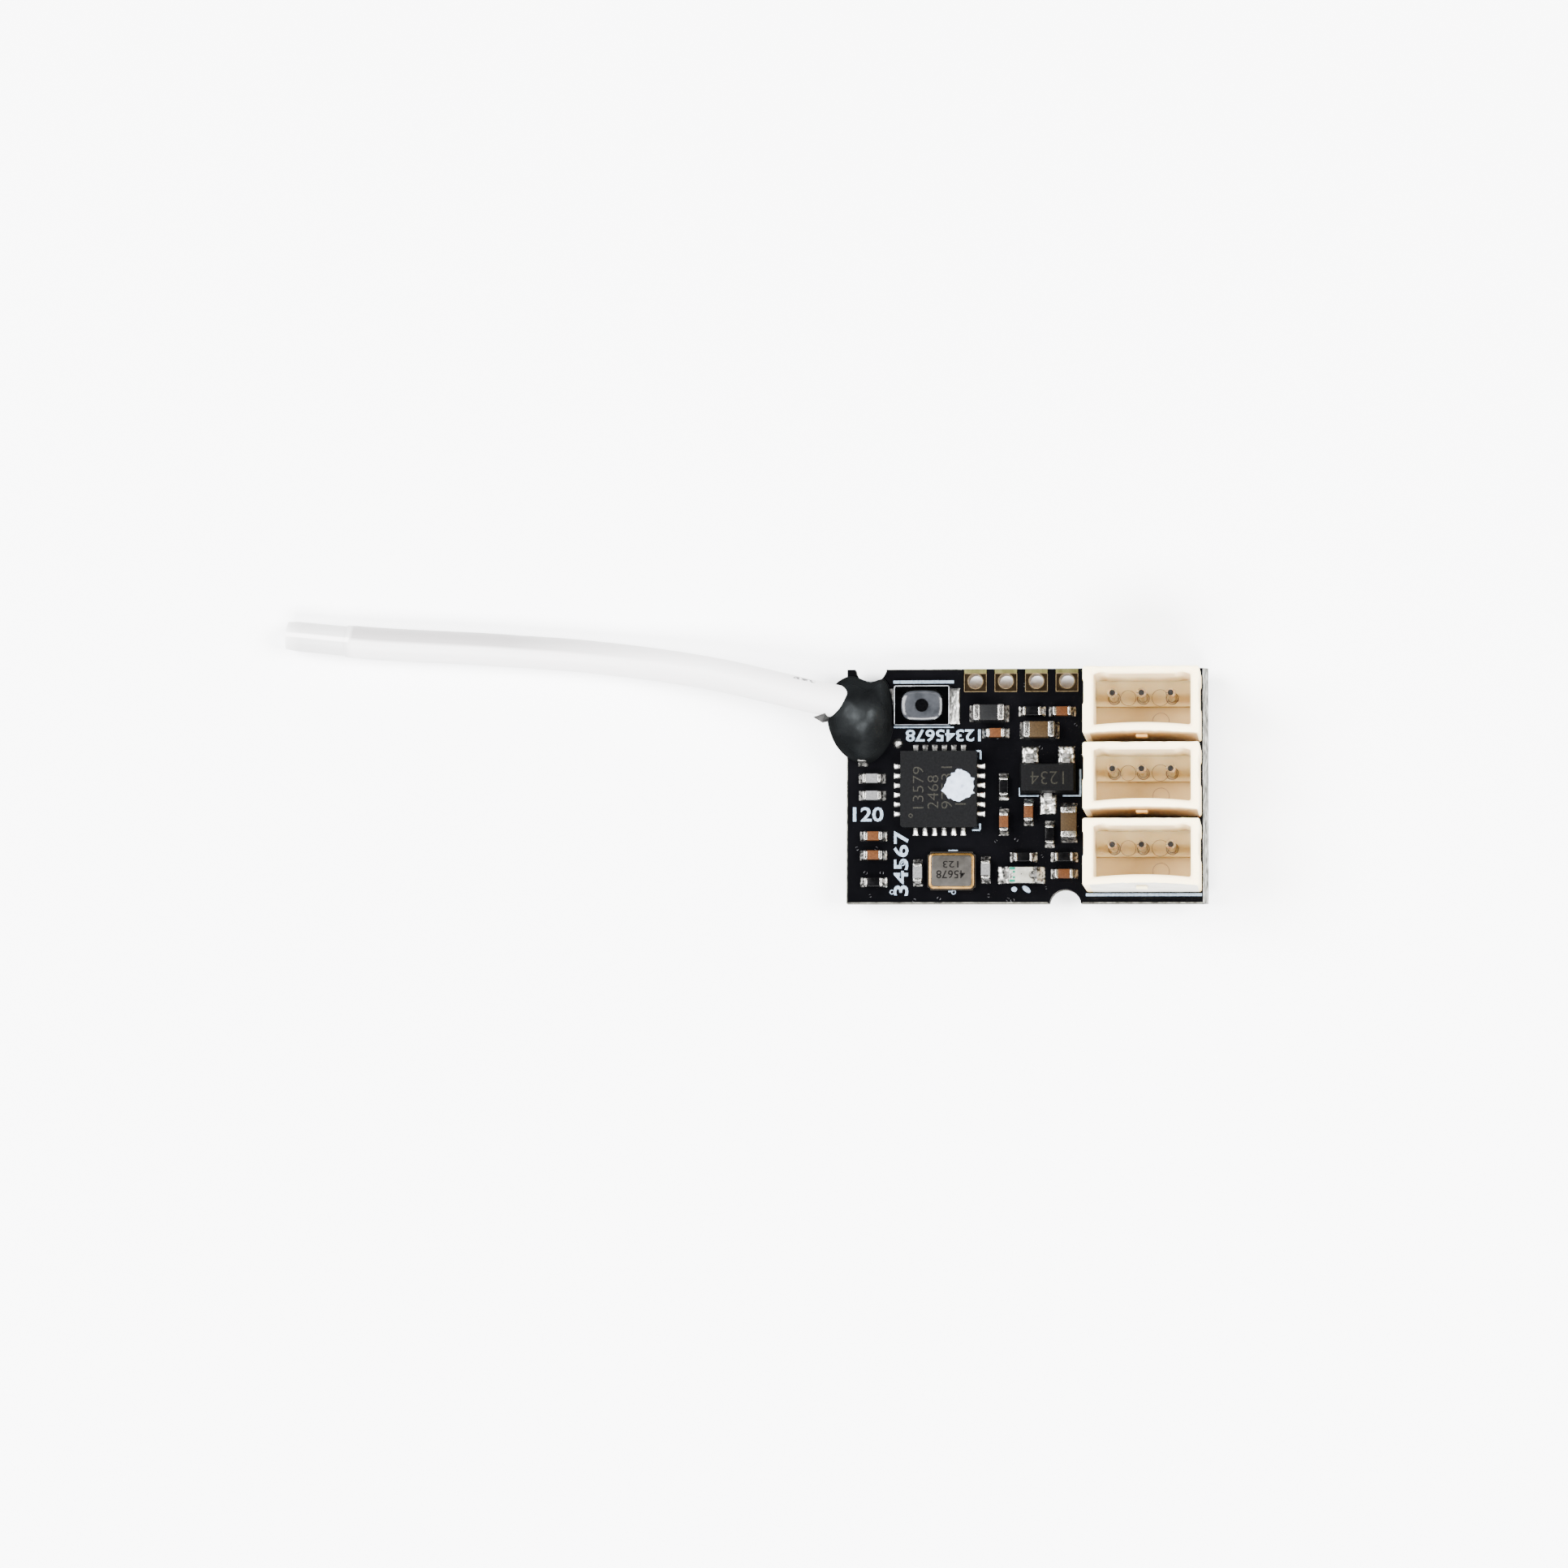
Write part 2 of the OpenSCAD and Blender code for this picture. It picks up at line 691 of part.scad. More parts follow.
module switch_cover() {
    color("#c8cacc")
    at_switch(switch_base_h)
        linear_extrude(cover_t)
            difference() {
                square([switch_l, switch_d], center = true);
                window_shape(0);
            }
}

// Snap dome, a shallow cap of sheet steel on the floor of the case
module switch_dome() {
    r = dome_d / 2;
    sheet = 0.02;
    color("#d9d3bd")
    at_switch(switch_base_h - travel - film_t - dome_rise - 0.05)
        rotate_extrude()
            polygon([[0, dome_rise - sheet], [0.5 * r, 0.75 * dome_rise - sheet],
                     [r - 0.05, 0], [r, 0], [r, sheet], [0.5 * r, 0.75 * dome_rise],
                     [0, dome_rise]]);
}

// Moving film with the stem that a fingertip presses
module switch_button() {
    color("#101113")
    at_switch(switch_base_h - film_t + 0.02) {
        linear_extrude(film_t)
            window_shape(film_gap);
        translate([0, 0, film_t])
            cylinder(d = stem_d, h = stem_h);
    }
}

module switch_lugs() {
    color("#c3c6ca")
    at_switch(0)
        for (s = [-1, 1])
            translate([s * (switch_l + lug_l) / 2, 0, lug_h / 2])
                cube([lug_l, lug_w, lug_h], center = true);
}

// Status light: a white base with a half-round notch in each end, and its clear block
module status_led() {
    base_h = 0.22;
    notch = 0.15;
    color("#eef1ee")
    translate([led_at[0], led_at[1], board_top + film_of_solder])
        difference() {
            union() {
                translate([-large_l / 2, -large_w / 2, 0])
                    cube([large_l, large_w, base_h]);
                translate([-0.33 * large_l, -large_w / 2, 0])
                    cube([0.66 * large_l, large_w, led_h]);
            }
            for (s = [-1, 1])
                translate([s * large_l / 2, 0, base_h / 2])
                    cylinder(r = notch, h = base_h + cut, center = true);
        }
}

// A tube swept along a route as one closed skin
module swept_tube(route, r, sides) {
    n = len(route);
    rings = [for (i = [0:n - 1]) each ring_at(route, i, r, sides)];
    walls = [for (i = [0:n - 2], k = [0:sides - 1])
        [i * sides + k, i * sides + (k + 1) % sides,
         (i + 1) * sides + (k + 1) % sides, (i + 1) * sides + k]];
    first = [for (k = [sides - 1:-1:0]) k];
    last = [for (k = [0:sides - 1]) (n - 1) * sides + k];
    polyhedron(rings, concat(walls, [first, last]), convexity = 6);
}

module antenna_lead() {
    color("#f2f3f2")
    translate([left_edge, 0, 0])
        swept_tube(LEAD_ROUTE, sleeve_d / 2, lead_sides);
}

// The glue's skin: rings of its outline that swell and close over the crown
module glue_skin() {
    loop = smooth_loop(GLUE_OUTLINE, 3);
    n = len(loop);
    m = len(GLUE_RISE);
    full = glue_hang + glue_h;
    rings = [for (step = GLUE_RISE, q = loop)
        let (flat = glue_middle + step[0] * (q - glue_middle))
        [flat[0], flat[1], step[1] * full]];
    floor_ring = [for (q = loop)
        let (flat = glue_middle + 0.78 * (q - glue_middle)) [flat[0], flat[1], 0]];
    points = concat(floor_ring, rings, [[glue_middle[0], glue_middle[1], full]]);
    walls = [for (i = [0:m - 1], k = [0:n - 1])
        each [[i * n + k, (i + 1) * n + (k + 1) % n, i * n + (k + 1) % n],
              [i * n + k, (i + 1) * n + k, (i + 1) * n + (k + 1) % n]]];
    crown = [for (k = [0:n - 1]) [m * n + k, (m + 1) * n, m * n + (k + 1) % n]];
    base = [[for (k = [0:n - 1]) k]];
    translate([left_edge, 0, board_top - glue_hang])
        polyhedron(points, concat(walls, crown, base), convexity = 6);
}

// Black glue that holds the antenna to the corner of the board
module glue_relief() {
    coil = [for (part = TOP_PARTS) if (part[0] == "antenna_coil") part][0];
    coil_room = [coil[1][0] + 2 * (solder_out + glue_gap), coil[1][1] + 2 * glue_gap,
                 coil[1][2] + film_of_solder + glue_gap];
    color("#1b1c1f")
    difference() {
        glue_skin();
        translate([0, 0, board_top - board_t - cut])
            linear_extrude(board_t + cut)
                translate([left_edge, -top_edge])
                    square([board_w, board_d]);
        translate([left_edge + notch_top_x, top_edge + notch_r - notch_depth, 0])
            cylinder(r = notch_r + glue_gap, h = board_top + glue_h + cut);
        translate([left_edge, 0, 0])
            swept_tube(LEAD_ROUTE, sleeve_d / 2 + glue_gap, lead_sides);
        on_top(coil)
            translate([-coil_room[0] / 2, -coil_room[1] / 2, -cut])
                cube(coil_room + [0, 0, cut]);
        // Room for the button's case and its left lug
        translate([switch_at[0] - switch_l / 2 - lug_l - glue_gap,
                   switch_at[1] - lug_w / 2 - glue_gap, board_top - cut])
            cube([lug_l + switch_l, lug_w + 2 * glue_gap, cut + lug_h + glue_gap]);
        translate([switch_at[0] - switch_l / 2 - glue_gap,
                   switch_at[1] - switch_d / 2 - glue_gap, board_top - cut])
            cube([switch_l, switch_d + 2 * glue_gap, glue_h + 2 * cut]);
    }
}

board();
radio_chip();
radio_chip_joints();
paint_dab();
controller_chip();
controller_chip_joints();
crystal_base();
crystal_ring();
crystal_lid();
regulator_body();
regulator_leads();
switch_base();
switch_cover();
switch_dome();
switch_button();
switch_lugs();
status_led();
header_solder();
chip_solder();
glue_relief();
antenna_lead();
for (i = [1:pad_count])
    edge_pad(i);
for (h = [1:header_count])
    header_housing(h);
for (h = [1:header_count], p = [1:pin_count])
    header_pin(h, p);
for (part = TOP_PARTS)
    color(part[5]) on_top(part) chip_part(part[1]);
for (part = BACK_PARTS)
    color(part[5]) on_back(part) chip_part(part[1]);
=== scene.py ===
# %% [markdown]
# # A miniature radio control receiver, dressed for a studio photograph
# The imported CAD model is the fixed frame. This script gives each of its pieces a detailed
# material, and replaces the plain ones with richer meshes that stay in the same place.
# Lengths are written in millimetres, as on a data sheet, and become metres in `Shape.make`.

# %% Load the frame
import math

import bmesh
import bpy
from mathutils import Matrix, Vector, noise


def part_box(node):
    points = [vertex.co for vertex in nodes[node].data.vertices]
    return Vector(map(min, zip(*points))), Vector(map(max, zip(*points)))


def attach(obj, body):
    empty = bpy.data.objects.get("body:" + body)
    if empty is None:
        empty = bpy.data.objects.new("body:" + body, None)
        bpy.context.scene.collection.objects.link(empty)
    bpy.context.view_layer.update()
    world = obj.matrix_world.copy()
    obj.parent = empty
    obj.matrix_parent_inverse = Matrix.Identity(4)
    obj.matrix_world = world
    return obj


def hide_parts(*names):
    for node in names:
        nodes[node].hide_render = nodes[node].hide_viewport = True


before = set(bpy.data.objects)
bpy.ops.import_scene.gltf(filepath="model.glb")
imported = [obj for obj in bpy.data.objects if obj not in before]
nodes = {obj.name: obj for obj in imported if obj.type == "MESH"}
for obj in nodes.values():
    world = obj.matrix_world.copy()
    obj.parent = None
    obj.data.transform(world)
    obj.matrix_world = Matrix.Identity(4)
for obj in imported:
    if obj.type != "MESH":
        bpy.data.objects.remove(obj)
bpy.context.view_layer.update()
MM = 0.001
print("CAD nodes:", len(nodes))

# %% [markdown]
# Every dressed piece takes its place from the box of a CAD node, so two helpers read those
# boxes in millimetres. Typed places would drift apart from the model at its first change.

# %% Boxes of CAD nodes


def box(node):
    """Lowest and highest corner of a CAD node, in millimetres."""
    low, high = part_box(node)
    return low / MM, high / MM


def middle(node):
    """Centre of a CAD node's box, in millimetres."""
    low, high = box(node)
    return (low + high) / 2


BOARD_LOW, BOARD_HIGH = box("board")
TOP = BOARD_HIGH.z
LEFT = BOARD_LOW.x
print("board top at z", round(TOP, 3), "mm, left edge at x", round(LEFT, 3), "mm")

# %% [markdown]
# ## The camera
# The place and turn of the camera come from a fit to corners of the board, the header rims
# and the chips. It stands almost straight above, so it could also be a flat copy stand, but
# the fit gives the small lean that shows the outer wall of the lowest header.

# %% Camera
camera = bpy.data.objects.new("camera", bpy.data.cameras.new("camera"))
bpy.context.scene.collection.objects.link(camera)
EYE = (15.7, -24.9, 293.0)
LEAN = (4.897, 5.58, -0.19)
FOCAL_PIXELS, PHOTO_PIXELS, SENSOR = 6890, 1932, 36
camera.location = Vector(EYE) * MM
camera.rotation_mode = "YXZ"
camera.rotation_euler = [math.radians(a) for a in LEAN]
camera.data.sensor_width = SENSOR
camera.data.lens = SENSOR * FOCAL_PIXELS / PHOTO_PIXELS
camera.data.clip_start, camera.data.clip_end = 0.02, 5
bpy.context.scene.camera = camera
print("camera lens", round(camera.data.lens, 1), "mm")

# %% [markdown]
# ## Tools for materials
# Each material is a small node tree on object coordinates. A helper scales them to
# millimetres, so the size of a grain is written as it would be measured. Image textures
# could do this too, but nodes stay sharp at any distance and need no unwrapping.

# %% Material tools


class Paint:
    """A Principled material and the nodes that feed it."""

    def __init__(self, name, **sockets):
        self.material = bpy.data.materials.new(name)
        self.material.use_nodes = True
        self.tree = self.material.node_tree
        self.shader = self.tree.nodes["Principled BSDF"]
        for key, value in sockets.items():
            self.shader.inputs[key.replace("_", " ")].default_value = value
        coordinates = self.add("ShaderNodeTexCoord").outputs["Object"]
        self.mm = self.math_vector("SCALE", coordinates, scale=1 / MM)
        self.height = None

    def add(self, kind, **settings):
        node = self.tree.nodes.new(kind)
        for key, value in settings.items():
            setattr(node, key, value)
        return node

    def link(self, output, target):
        self.tree.links.new(output, target)

    def math_vector(self, operation, vector, other=None, scale=None):
        node = self.add("ShaderNodeVectorMath", operation=operation)
        self.link(vector, node.inputs[0])
        if other is not None:
            node.inputs[1].default_value = other
        if scale is not None:
            node.inputs["Scale"].default_value = scale
        return node.outputs[0]

    def math(self, operation, first, second=None, clamp=False):
        node = self.add("ShaderNodeMath", operation=operation, use_clamp=clamp)
        for socket, value in zip(node.inputs, (first, second)):
            if isinstance(value, (int, float)):
                socket.default_value = value
            elif value is not None:
                self.link(value, socket)
        return node.outputs[0]

    def axis(self, name):
        node = self.add("ShaderNodeSeparateXYZ")
        self.link(self.mm, node.inputs[0])
        return node.outputs[name]

    def noise(self, size, detail=3.0, stretch=(1, 1, 1)):
        """Noise whose grains measure about `size` millimetres."""
        node = self.add("ShaderNodeTexNoise")
        node.inputs["Scale"].default_value = 1 / size
        node.inputs["Detail"].default_value = detail
        self.link(self.math_vector("MULTIPLY", self.mm, stretch), node.inputs["Vector"])
        return node.outputs["Fac"]

    def cells(self, size):
        """Round dimples that measure about `size` millimetres."""
        node = self.add("ShaderNodeTexVoronoi")
        node.inputs["Scale"].default_value = 1 / size
        self.link(self.mm, node.inputs["Vector"])
        return node.outputs["Distance"]

    def attribute(self, name):
        return self.add("ShaderNodeAttribute", attribute_name=name).outputs["Fac"]

    def range(self, value, low, high, to_low=0.0, to_high=1.0):
        node = self.add("ShaderNodeMapRange")
        for socket, number in zip(node.inputs[1:5], (low, high, to_low, to_high)):
            socket.default_value = number
        self.link(value, node.inputs[0])
        return node.outputs[0]

    def colours(self, value, *stops):
        """Base colour from a value, by stops of (position, colour)."""
        node = self.add("ShaderNodeValToRGB")
        ramp = node.color_ramp
        while len(ramp.elements) < len(stops):
            ramp.elements.new(1.0)
        for element, (position, colour) in zip(ramp.elements, stops):
            element.position = position
            element.color = (*colour, 1)
        self.link(value, node.inputs[0])
        self.link(node.outputs[0], self.shader.inputs["Base Color"])
        return node.outputs[0]

    def speckle(self, grain, dark, light, detail=3.0, span=(0.3, 0.7)):
        """Base colour that wanders from dark to light in grains of a size."""
        self.colours(self.noise(grain, detail), (span[0], dark), (span[1], light))

    def roughness(self, grain, low, high, detail=3.0):
        value = self.range(self.noise(grain, detail), 0, 1, low, high)
        self.link(value, self.shader.inputs["Roughness"])

    def mix(self, factor, under, colour, blend="MIX"):
        """A colour laid over another one, as far as the factor says."""
        node = self.add("ShaderNodeMix", data_type="RGBA", blend_type=blend)
        self.link(factor, node.inputs["Factor"])
        self.link(under, node.inputs[6])
        node.inputs[7].default_value = (*colour, 1)
        return node.outputs[2]

    def relief(self, grain, depth, detail=3.0, stretch=(1, 1, 1)):
        """Bumps of a grain size and depth in millimetres."""
        self.bump(self.noise(grain, detail, stretch), depth)

    def bump(self, value, depth):
        """Relief of `depth` millimetres on top of what is there already."""
        node = self.add("ShaderNodeBump")
        node.inputs["Distance"].default_value = depth * MM
        self.link(value, node.inputs["Height"])
        if self.height is not None:
            self.link(self.height, node.inputs["Normal"])
        self.height = node.outputs[0]
        self.link(self.height, self.shader.inputs["Normal"])

    def soften(self, radius):
        """Rounds sharp edges of a CAD mesh in the light, by `radius` millimetres."""
        node = self.add("ShaderNodeBevel", samples=4)
        node.inputs["Radius"].default_value = radius * MM
        self.height = node.outputs[0]
        self.link(self.height, self.shader.inputs["Normal"])


print("material tools ready")

# %% [markdown]
# ## Tools for meshes
# `Shape` gathers blocks, lofts and mounds in millimetres, each with its own material, and
# turns them into one object. That keeps a part such as a capacitor, with its body and two
# metal ends, together as one piece, where separate objects would clutter the outliner.

# %% Mesh tools


def volume(points, faces):
    """Volume of a closed form, which is below zero when the form is inside out."""
    found = 0.0
    for face in faces:
        ring = [points[i] - points[0] for i in face]
        centre = sum(ring, Vector()) / len(ring)
        found += sum(centre.dot(a.cross(b)) for a, b in zip(ring, ring[1:] + ring[:1])) / 6
    return found


class Shape:
    """Gathers closed forms in millimetres and makes one object of them."""

    def __init__(self):
        self.points, self.faces, self.slots, self.materials = [], [], [], []

    def add(self, points, faces, paint, place=None):
        """Points and faces of one form, moved to its place, with its faces outwards."""
        start = len(self.points)
        place = place or Matrix()
        points = [place @ Vector(p) for p in points]
        if volume(points, faces) < 0:
            faces = [face[::-1] for face in faces]
        self.points += points
        self.faces += [[start + i for i in face] for face in faces]
        if paint.material not in self.materials:
            self.materials.append(paint.material)
        self.slots += [self.materials.index(paint.material)] * len(faces)

    def block(self, size, centre, paint, bevel=0.03, place=None, segments=3):
        """A box with round edges."""
        bm = bmesh.new()
        bmesh.ops.create_cube(bm, size=1.0)
        bmesh.ops.scale(bm, vec=size, verts=bm.verts)
        bmesh.ops.bevel(
            bm, geom=bm.edges[:], offset=bevel, segments=segments, profile=0.5, affect="EDGES"
        )
        bmesh.ops.translate(bm, vec=centre, verts=bm.verts)
        self.take(bm, paint, place)

    def take(self, bm, paint, place=None):
        """All that a bmesh holds."""
        bm.verts.index_update()
        points = [v.co.copy() for v in bm.verts]
        faces = [[v.index for v in f.verts] for f in bm.faces]
        bm.free()
        self.add(points, faces, paint, place)

    def loft(self, rings, paint, place=None, cap=True):
        """A skin through rings of equal length, closed at both ends."""
        count, n = len(rings), len(rings[0])
        faces = [
            [i * n + k, i * n + (k + 1) % n, (i + 1) * n + (k + 1) % n, (i + 1) * n + k]
            for i in range(count - 1)
            for k in range(n)
        ]
        if cap:
            faces += [list(range(n))[::-1], [(count - 1) * n + k for k in range(n)]]
        self.add([p for ring in rings for p in ring], faces, paint, place)

    def mound(self, across, along, surface, paint, place=None):
        """A closed heap with a flat base: surface(u, v) gives its skin for u and v in 0..1."""
        n, m = across + 1, along + 1
        top = [Vector(surface(i / across, j / along)) for j in range(m) for i in range(n)]
        rim = list(range(n)) + [j * n + n - 1 for j in range(1, m)]
        rim += [(m - 1) * n + i for i in range(n - 2, -1, -1)]
        rim += [j * n for j in range(m - 2, 0, -1)]
        foot = [Vector((top[i].x, top[i].y, 0)) for i in rim]
        faces = [
            [j * n + i, j * n + i + 1, (j + 1) * n + i + 1, (j + 1) * n + i]
            for j in range(m - 1)
            for i in range(n - 1)
        ]
        base, size = len(top), len(rim)
        for k in range(size):
            q = (k + 1) % size
            faces.append([rim[q], rim[k], base + k, base + q])
        faces.append([base + k for k in range(size)][::-1])
        self.add(top + foot, faces, paint, place)

    def make(self, name, body="receiver", replaces=(), smooth=40):
        """One object in metres. Edges sharper than `smooth` degrees stay sharp."""
        mesh = bpy.data.meshes.new(name)
        mesh.from_pydata([p * MM for p in self.points], [], self.faces)
        for material in self.materials:
            mesh.materials.append(material)
        mesh.polygons.foreach_set("material_index", self.slots)
        piece = bpy.data.objects.new(name, mesh)
        bpy.context.scene.collection.objects.link(piece)
        if smooth:
            mesh.shade_smooth()
            mesh.set_sharp_from_angle(angle=math.radians(smooth))
        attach(piece, body)
        if replaces:
            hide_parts(*replaces)
        return piece


print("Shape can add a block, a loft or a mound")

# %% [markdown]
# Outlines feed the lofts: smooth curves through a few points, circles, and rectangles with
# round corners. Blender's curve objects hold such lines too, but plain lists of points can
# be scaled, bent and stacked by one line of Python.

# %% Curves and outlines


def at(x, y, z, turn=0.0):
    """A place in millimetres, turned about Z by degrees."""
    return Matrix.Translation((x, y, z)) @ Matrix.Rotation(math.radians(turn), 4, "Z")


def between(a, b, c, d, steps):
    """Points from b up to c on the smooth curve through four points."""
    return [
        b + 0.5 * t * (c - a + t * (2 * a - 5 * b + 4 * c - d + t * (3 * (b - c) + d - a)))
        for t in (s / steps for s in range(steps))
    ]


def smooth_path(points, steps):
    """Points on the smooth curve through a list of points."""
    p = [Vector(q) for q in points]
    p = [2 * p[0] - p[1], *p, 2 * p[-1] - p[-2]]
    return [q for four in zip(p, p[1:], p[2:], p[3:]) for q in between(*four, steps)] + [p[-2]]


def smooth_loop(points, steps):
    """Points on the smooth closed curve through a list of points."""
    p = [Vector(q) for q in points]
    fours = zip(p[-1:] + p[:-1], p, p[1:] + p[:1], p[2:] + p[:2])
    return [q for four in fours for q in between(*four, steps)]


def circle(radius, sides, z=0.0):
    """Points round a circle about the origin."""
    turns = (math.tau * k / sides for k in range(sides))
    return [(radius * math.cos(a), radius * math.sin(a), z) for a in turns]


def ridge(radius, wide, high, crest=1.0, sides=28):
    """Rings of a low ridge that runs round a circle. `crest` is its width on top, as a share."""
    low, top = wide / 2, crest * wide / 2
    section = [(low, 0), (top, high), (-top, high), (-low, 0)]
    return [
        [((radius + a) * math.cos(t), (radius + a) * math.sin(t), b) for a, b in section]
        for t in (math.tau * k / sides for k in range(sides + 1))
    ]


def rounded(low, high, corner, inset, z, steps=6):
    """A rectangle with round corners, moved inwards by `inset`."""
    r = max(corner - inset, 0.01)
    found = []
    for x, y, angle in (
        (high.x - inset - r, low.y + inset + r, -90), (high.x - inset - r, high.y - inset - r, 0),
        (low.x + inset + r, high.y - inset - r, 90), (low.x + inset + r, low.y + inset + r, 180),
    ):
        turns = (math.radians(angle + 90 * k / steps) for k in range(steps + 1))
        found += [(x + r * math.cos(a), y + r * math.sin(a), z) for a in turns]
    return found


print("a circle of eight:", [(round(x, 2), round(y, 2)) for x, y, _ in circle(1.0, 8)])

# %% [markdown]
# A CAD node that stays keeps its mesh and only gets new materials. Where one node shows
# several finishes, a rule picks the material of each face by its place and direction.
# Faces could be picked by hand in edit mode, but a rule still holds when the CAD changes.

# %% Dressing a CAD node


def dress(node, *paints, choose=None):
    """Gives a CAD node its materials. choose(centre, normal) picks one for each face."""
    mesh = nodes[node].data
    mesh.materials.clear()
    for paint in paints:
        mesh.materials.append(paint.material)
    if choose:
        for face in mesh.polygons:
            face.material_index = choose(face.center / MM, face.normal)


print("ready to dress", len(nodes), "nodes")

# %% [markdown]
# ## The antenna
# A white sleeve of soft plastic, 1.75 mm across, that leaves the glue at the board's top and
# comes down to the table. Its material reads two attributes that the mesh will carry: the
# distance from the tip, and how far a point lies uphill. They stay with the surface however
# the sleeve bends, where a pattern in space would slide off it.

# %% Sleeve material
sleeve_white = Paint(
    "sleeve_white", Roughness=0.45, Subsurface_Weight=0.35, Subsurface_Radius=(1.0, 0.95, 0.9)
)
sleeve_white.shader.inputs["Subsurface Scale"].default_value = 0.5 * MM
plain = sleeve_white.colours(
    sleeve_white.range(sleeve_white.attribute("from_tip"), 0, 5.0),
    (0.0, (0.60, 0.595, 0.595)),
    (0.05, (0.52, 0.515, 0.515)),
    (0.16, (0.44, 0.435, 0.435)),
    (0.66, (0.48, 0.475, 0.475)),
    (0.72, (0.60, 0.585, 0.585)),
)


def band(attribute, middle_at, fades, ends):
    """1 near a value of an attribute, and 0 from `ends` away from it."""
    away = sleeve_white.math("SUBTRACT", sleeve_white.attribute(attribute), middle_at)
    return sleeve_white.range(sleeve_white.math("ABSOLUTE", away), ends, fades)


# Painted shade: the upper half of the sleeve is darker from the shoulder of the bare tip up to 12
# mm from the tip, and fades out by 22 mm
shade = sleeve_white.math(
    "MULTIPLY",
    sleeve_white.range(sleeve_white.attribute("uphill"), -0.06, 0.16),
    sleeve_white.range(sleeve_white.attribute("from_tip"), 22.0, 12.0),
)
shade = sleeve_white.math(
    "MULTIPLY", shade, sleeve_white.range(sleeve_white.attribute("from_tip"), 3.4, 3.6)
)
shade = sleeve_white.math("MULTIPLY", shade, 0.9)
shaded = sleeve_white.mix(shade, plain, (0.44, 0.43, 0.43), "MULTIPLY")
# Painted highlight: a light line along the top and the underside of the bare tip
bare = sleeve_white.range(sleeve_white.attribute("from_tip"), 3.5, 3.4)
tip_highlight = sleeve_white.math("MULTIPLY", band("uphill", 0.0, 0.1, 0.2), bare)
lined = sleeve_white.mix(tip_highlight, shaded, (0.75, 0.73, 0.73))
# A few scuffs on the upper flank, not far from the glue
scuff = sleeve_white.math(
    "MULTIPLY", band("uphill", 0.84, 0.06, 0.1), band("from_tip", 28.1, 0.5, 0.7)
)
dashes = sleeve_white.range(sleeve_white.noise(0.14), 0.44, 0.5)
inked = sleeve_white.mix(sleeve_white.math("MULTIPLY", scuff, dashes), lined, (0.01, 0.01, 0.01))
sleeve_white.link(inked, sleeve_white.shader.inputs["Base Color"])
sleeve_white.roughness(0.6, 0.38, 0.52)
sleeve_white.relief(0.9, 0.02, detail=4, stretch=(0.25, 1, 1))
sleeve_white.relief(0.08, 0.002, detail=2)
print("sleeve material reads from_tip and uphill")

# %% [markdown]
# The centre line repeats the route of the CAD part. A curve with a round bevel would do for
# a plain cable, but a lofted tube can step down to the bare tip and carry the attributes.

# %% Antenna sleeve
ROUTE = [
    (0.95, 4.10, 2.78), (-0.10, 4.31, 2.78), (-0.90, 4.48, 2.76), (-1.70, 4.65, 2.71),
    (-2.90, 4.95, 2.60), (-4.10, 5.25, 2.43), (-6.30, 5.80, 2.00), (-8.50, 6.25, 1.52),
    (-10.70, 6.62, 1.13), (-12.80, 6.90, 0.93), (-15.00, 7.13, 0.88), (-17.20, 7.29, 0.88),
    (-19.40, 7.45, 0.88), (-21.60, 7.57, 0.88), (-24.60, 7.74, 0.88), (-26.80, 7.92, 0.88),
    (-30.00, 8.25, 0.88),
]
SLEEVE_R = 0.865
TIP_LENGTH = 3.5
TIP_R = 0.79
SLEEVE_SIDES = 28


def tube(path, radii):
    """Rings of a tube round a path, square to it."""
    rings = []
    for i, (p, r) in enumerate(zip(path, radii)):
        ahead = (path[min(i + 1, len(path) - 1)] - path[max(i - 1, 0)]).normalized()
        side = ahead.cross(Vector((0, 0, 1))).normalized()
        up = side.cross(ahead)
        rings.append([p + x * side + y * up for x, y, _ in circle(r, SLEEVE_SIDES)])
    return rings


route = smooth_path([(LEFT + x, y, z) for x, y, z in ROUTE], 6)
steps = [(b - a).length for a, b in zip(route, route[1:])]
lead_length = sum(steps)
from_tip = [lead_length - sum(steps[:i]) for i in range(len(route))]
# Extra rings close the tip and make the square shoulder where the sleeve ends
centres, radii, distances = [], [], []
for p, left in zip(route, from_tip):
    shoulder = left < TIP_LENGTH
    if shoulder and radii and radii[-1] == SLEEVE_R:
        centres += [p, p]
        radii += [SLEEVE_R - 0.02, TIP_R]
        distances += [left, left]
    else:
        centres.append(p)
        radii.append(TIP_R if shoulder else SLEEVE_R)
        distances.append(left)
radii[-1] = TIP_R - 0.06
antenna = Shape()
antenna.loft(tube(centres, radii), sleeve_white)
antenna_sleeve = antenna.make(
    "antenna_sleeve", replaces=["antenna_lead"], smooth=50
)
around = [x for x, _, _ in circle(1.0, SLEEVE_SIDES)]
for name, values in (
    ("from_tip", [d for d in distances for _ in around]),
    ("uphill", [x for _ in distances for x in around]),
):
    layer = antenna_sleeve.data.attributes.new(name, "FLOAT", "POINT")
    layer.data.foreach_set("value", values)
print("antenna", round(lead_length, 2), "mm long")

# %% [markdown]
# ## Floor and light
# A pale floor under the part, a broad softbox on each side, a strong one in front and a weak
# one behind. No lamp hangs straight above, so flat metal that faces the camera stays dark, as
# the pads and the pin tips do in a product photograph. A sky picture would light it too, but
# four lamps can be moved one by one until each edge shines as it should.

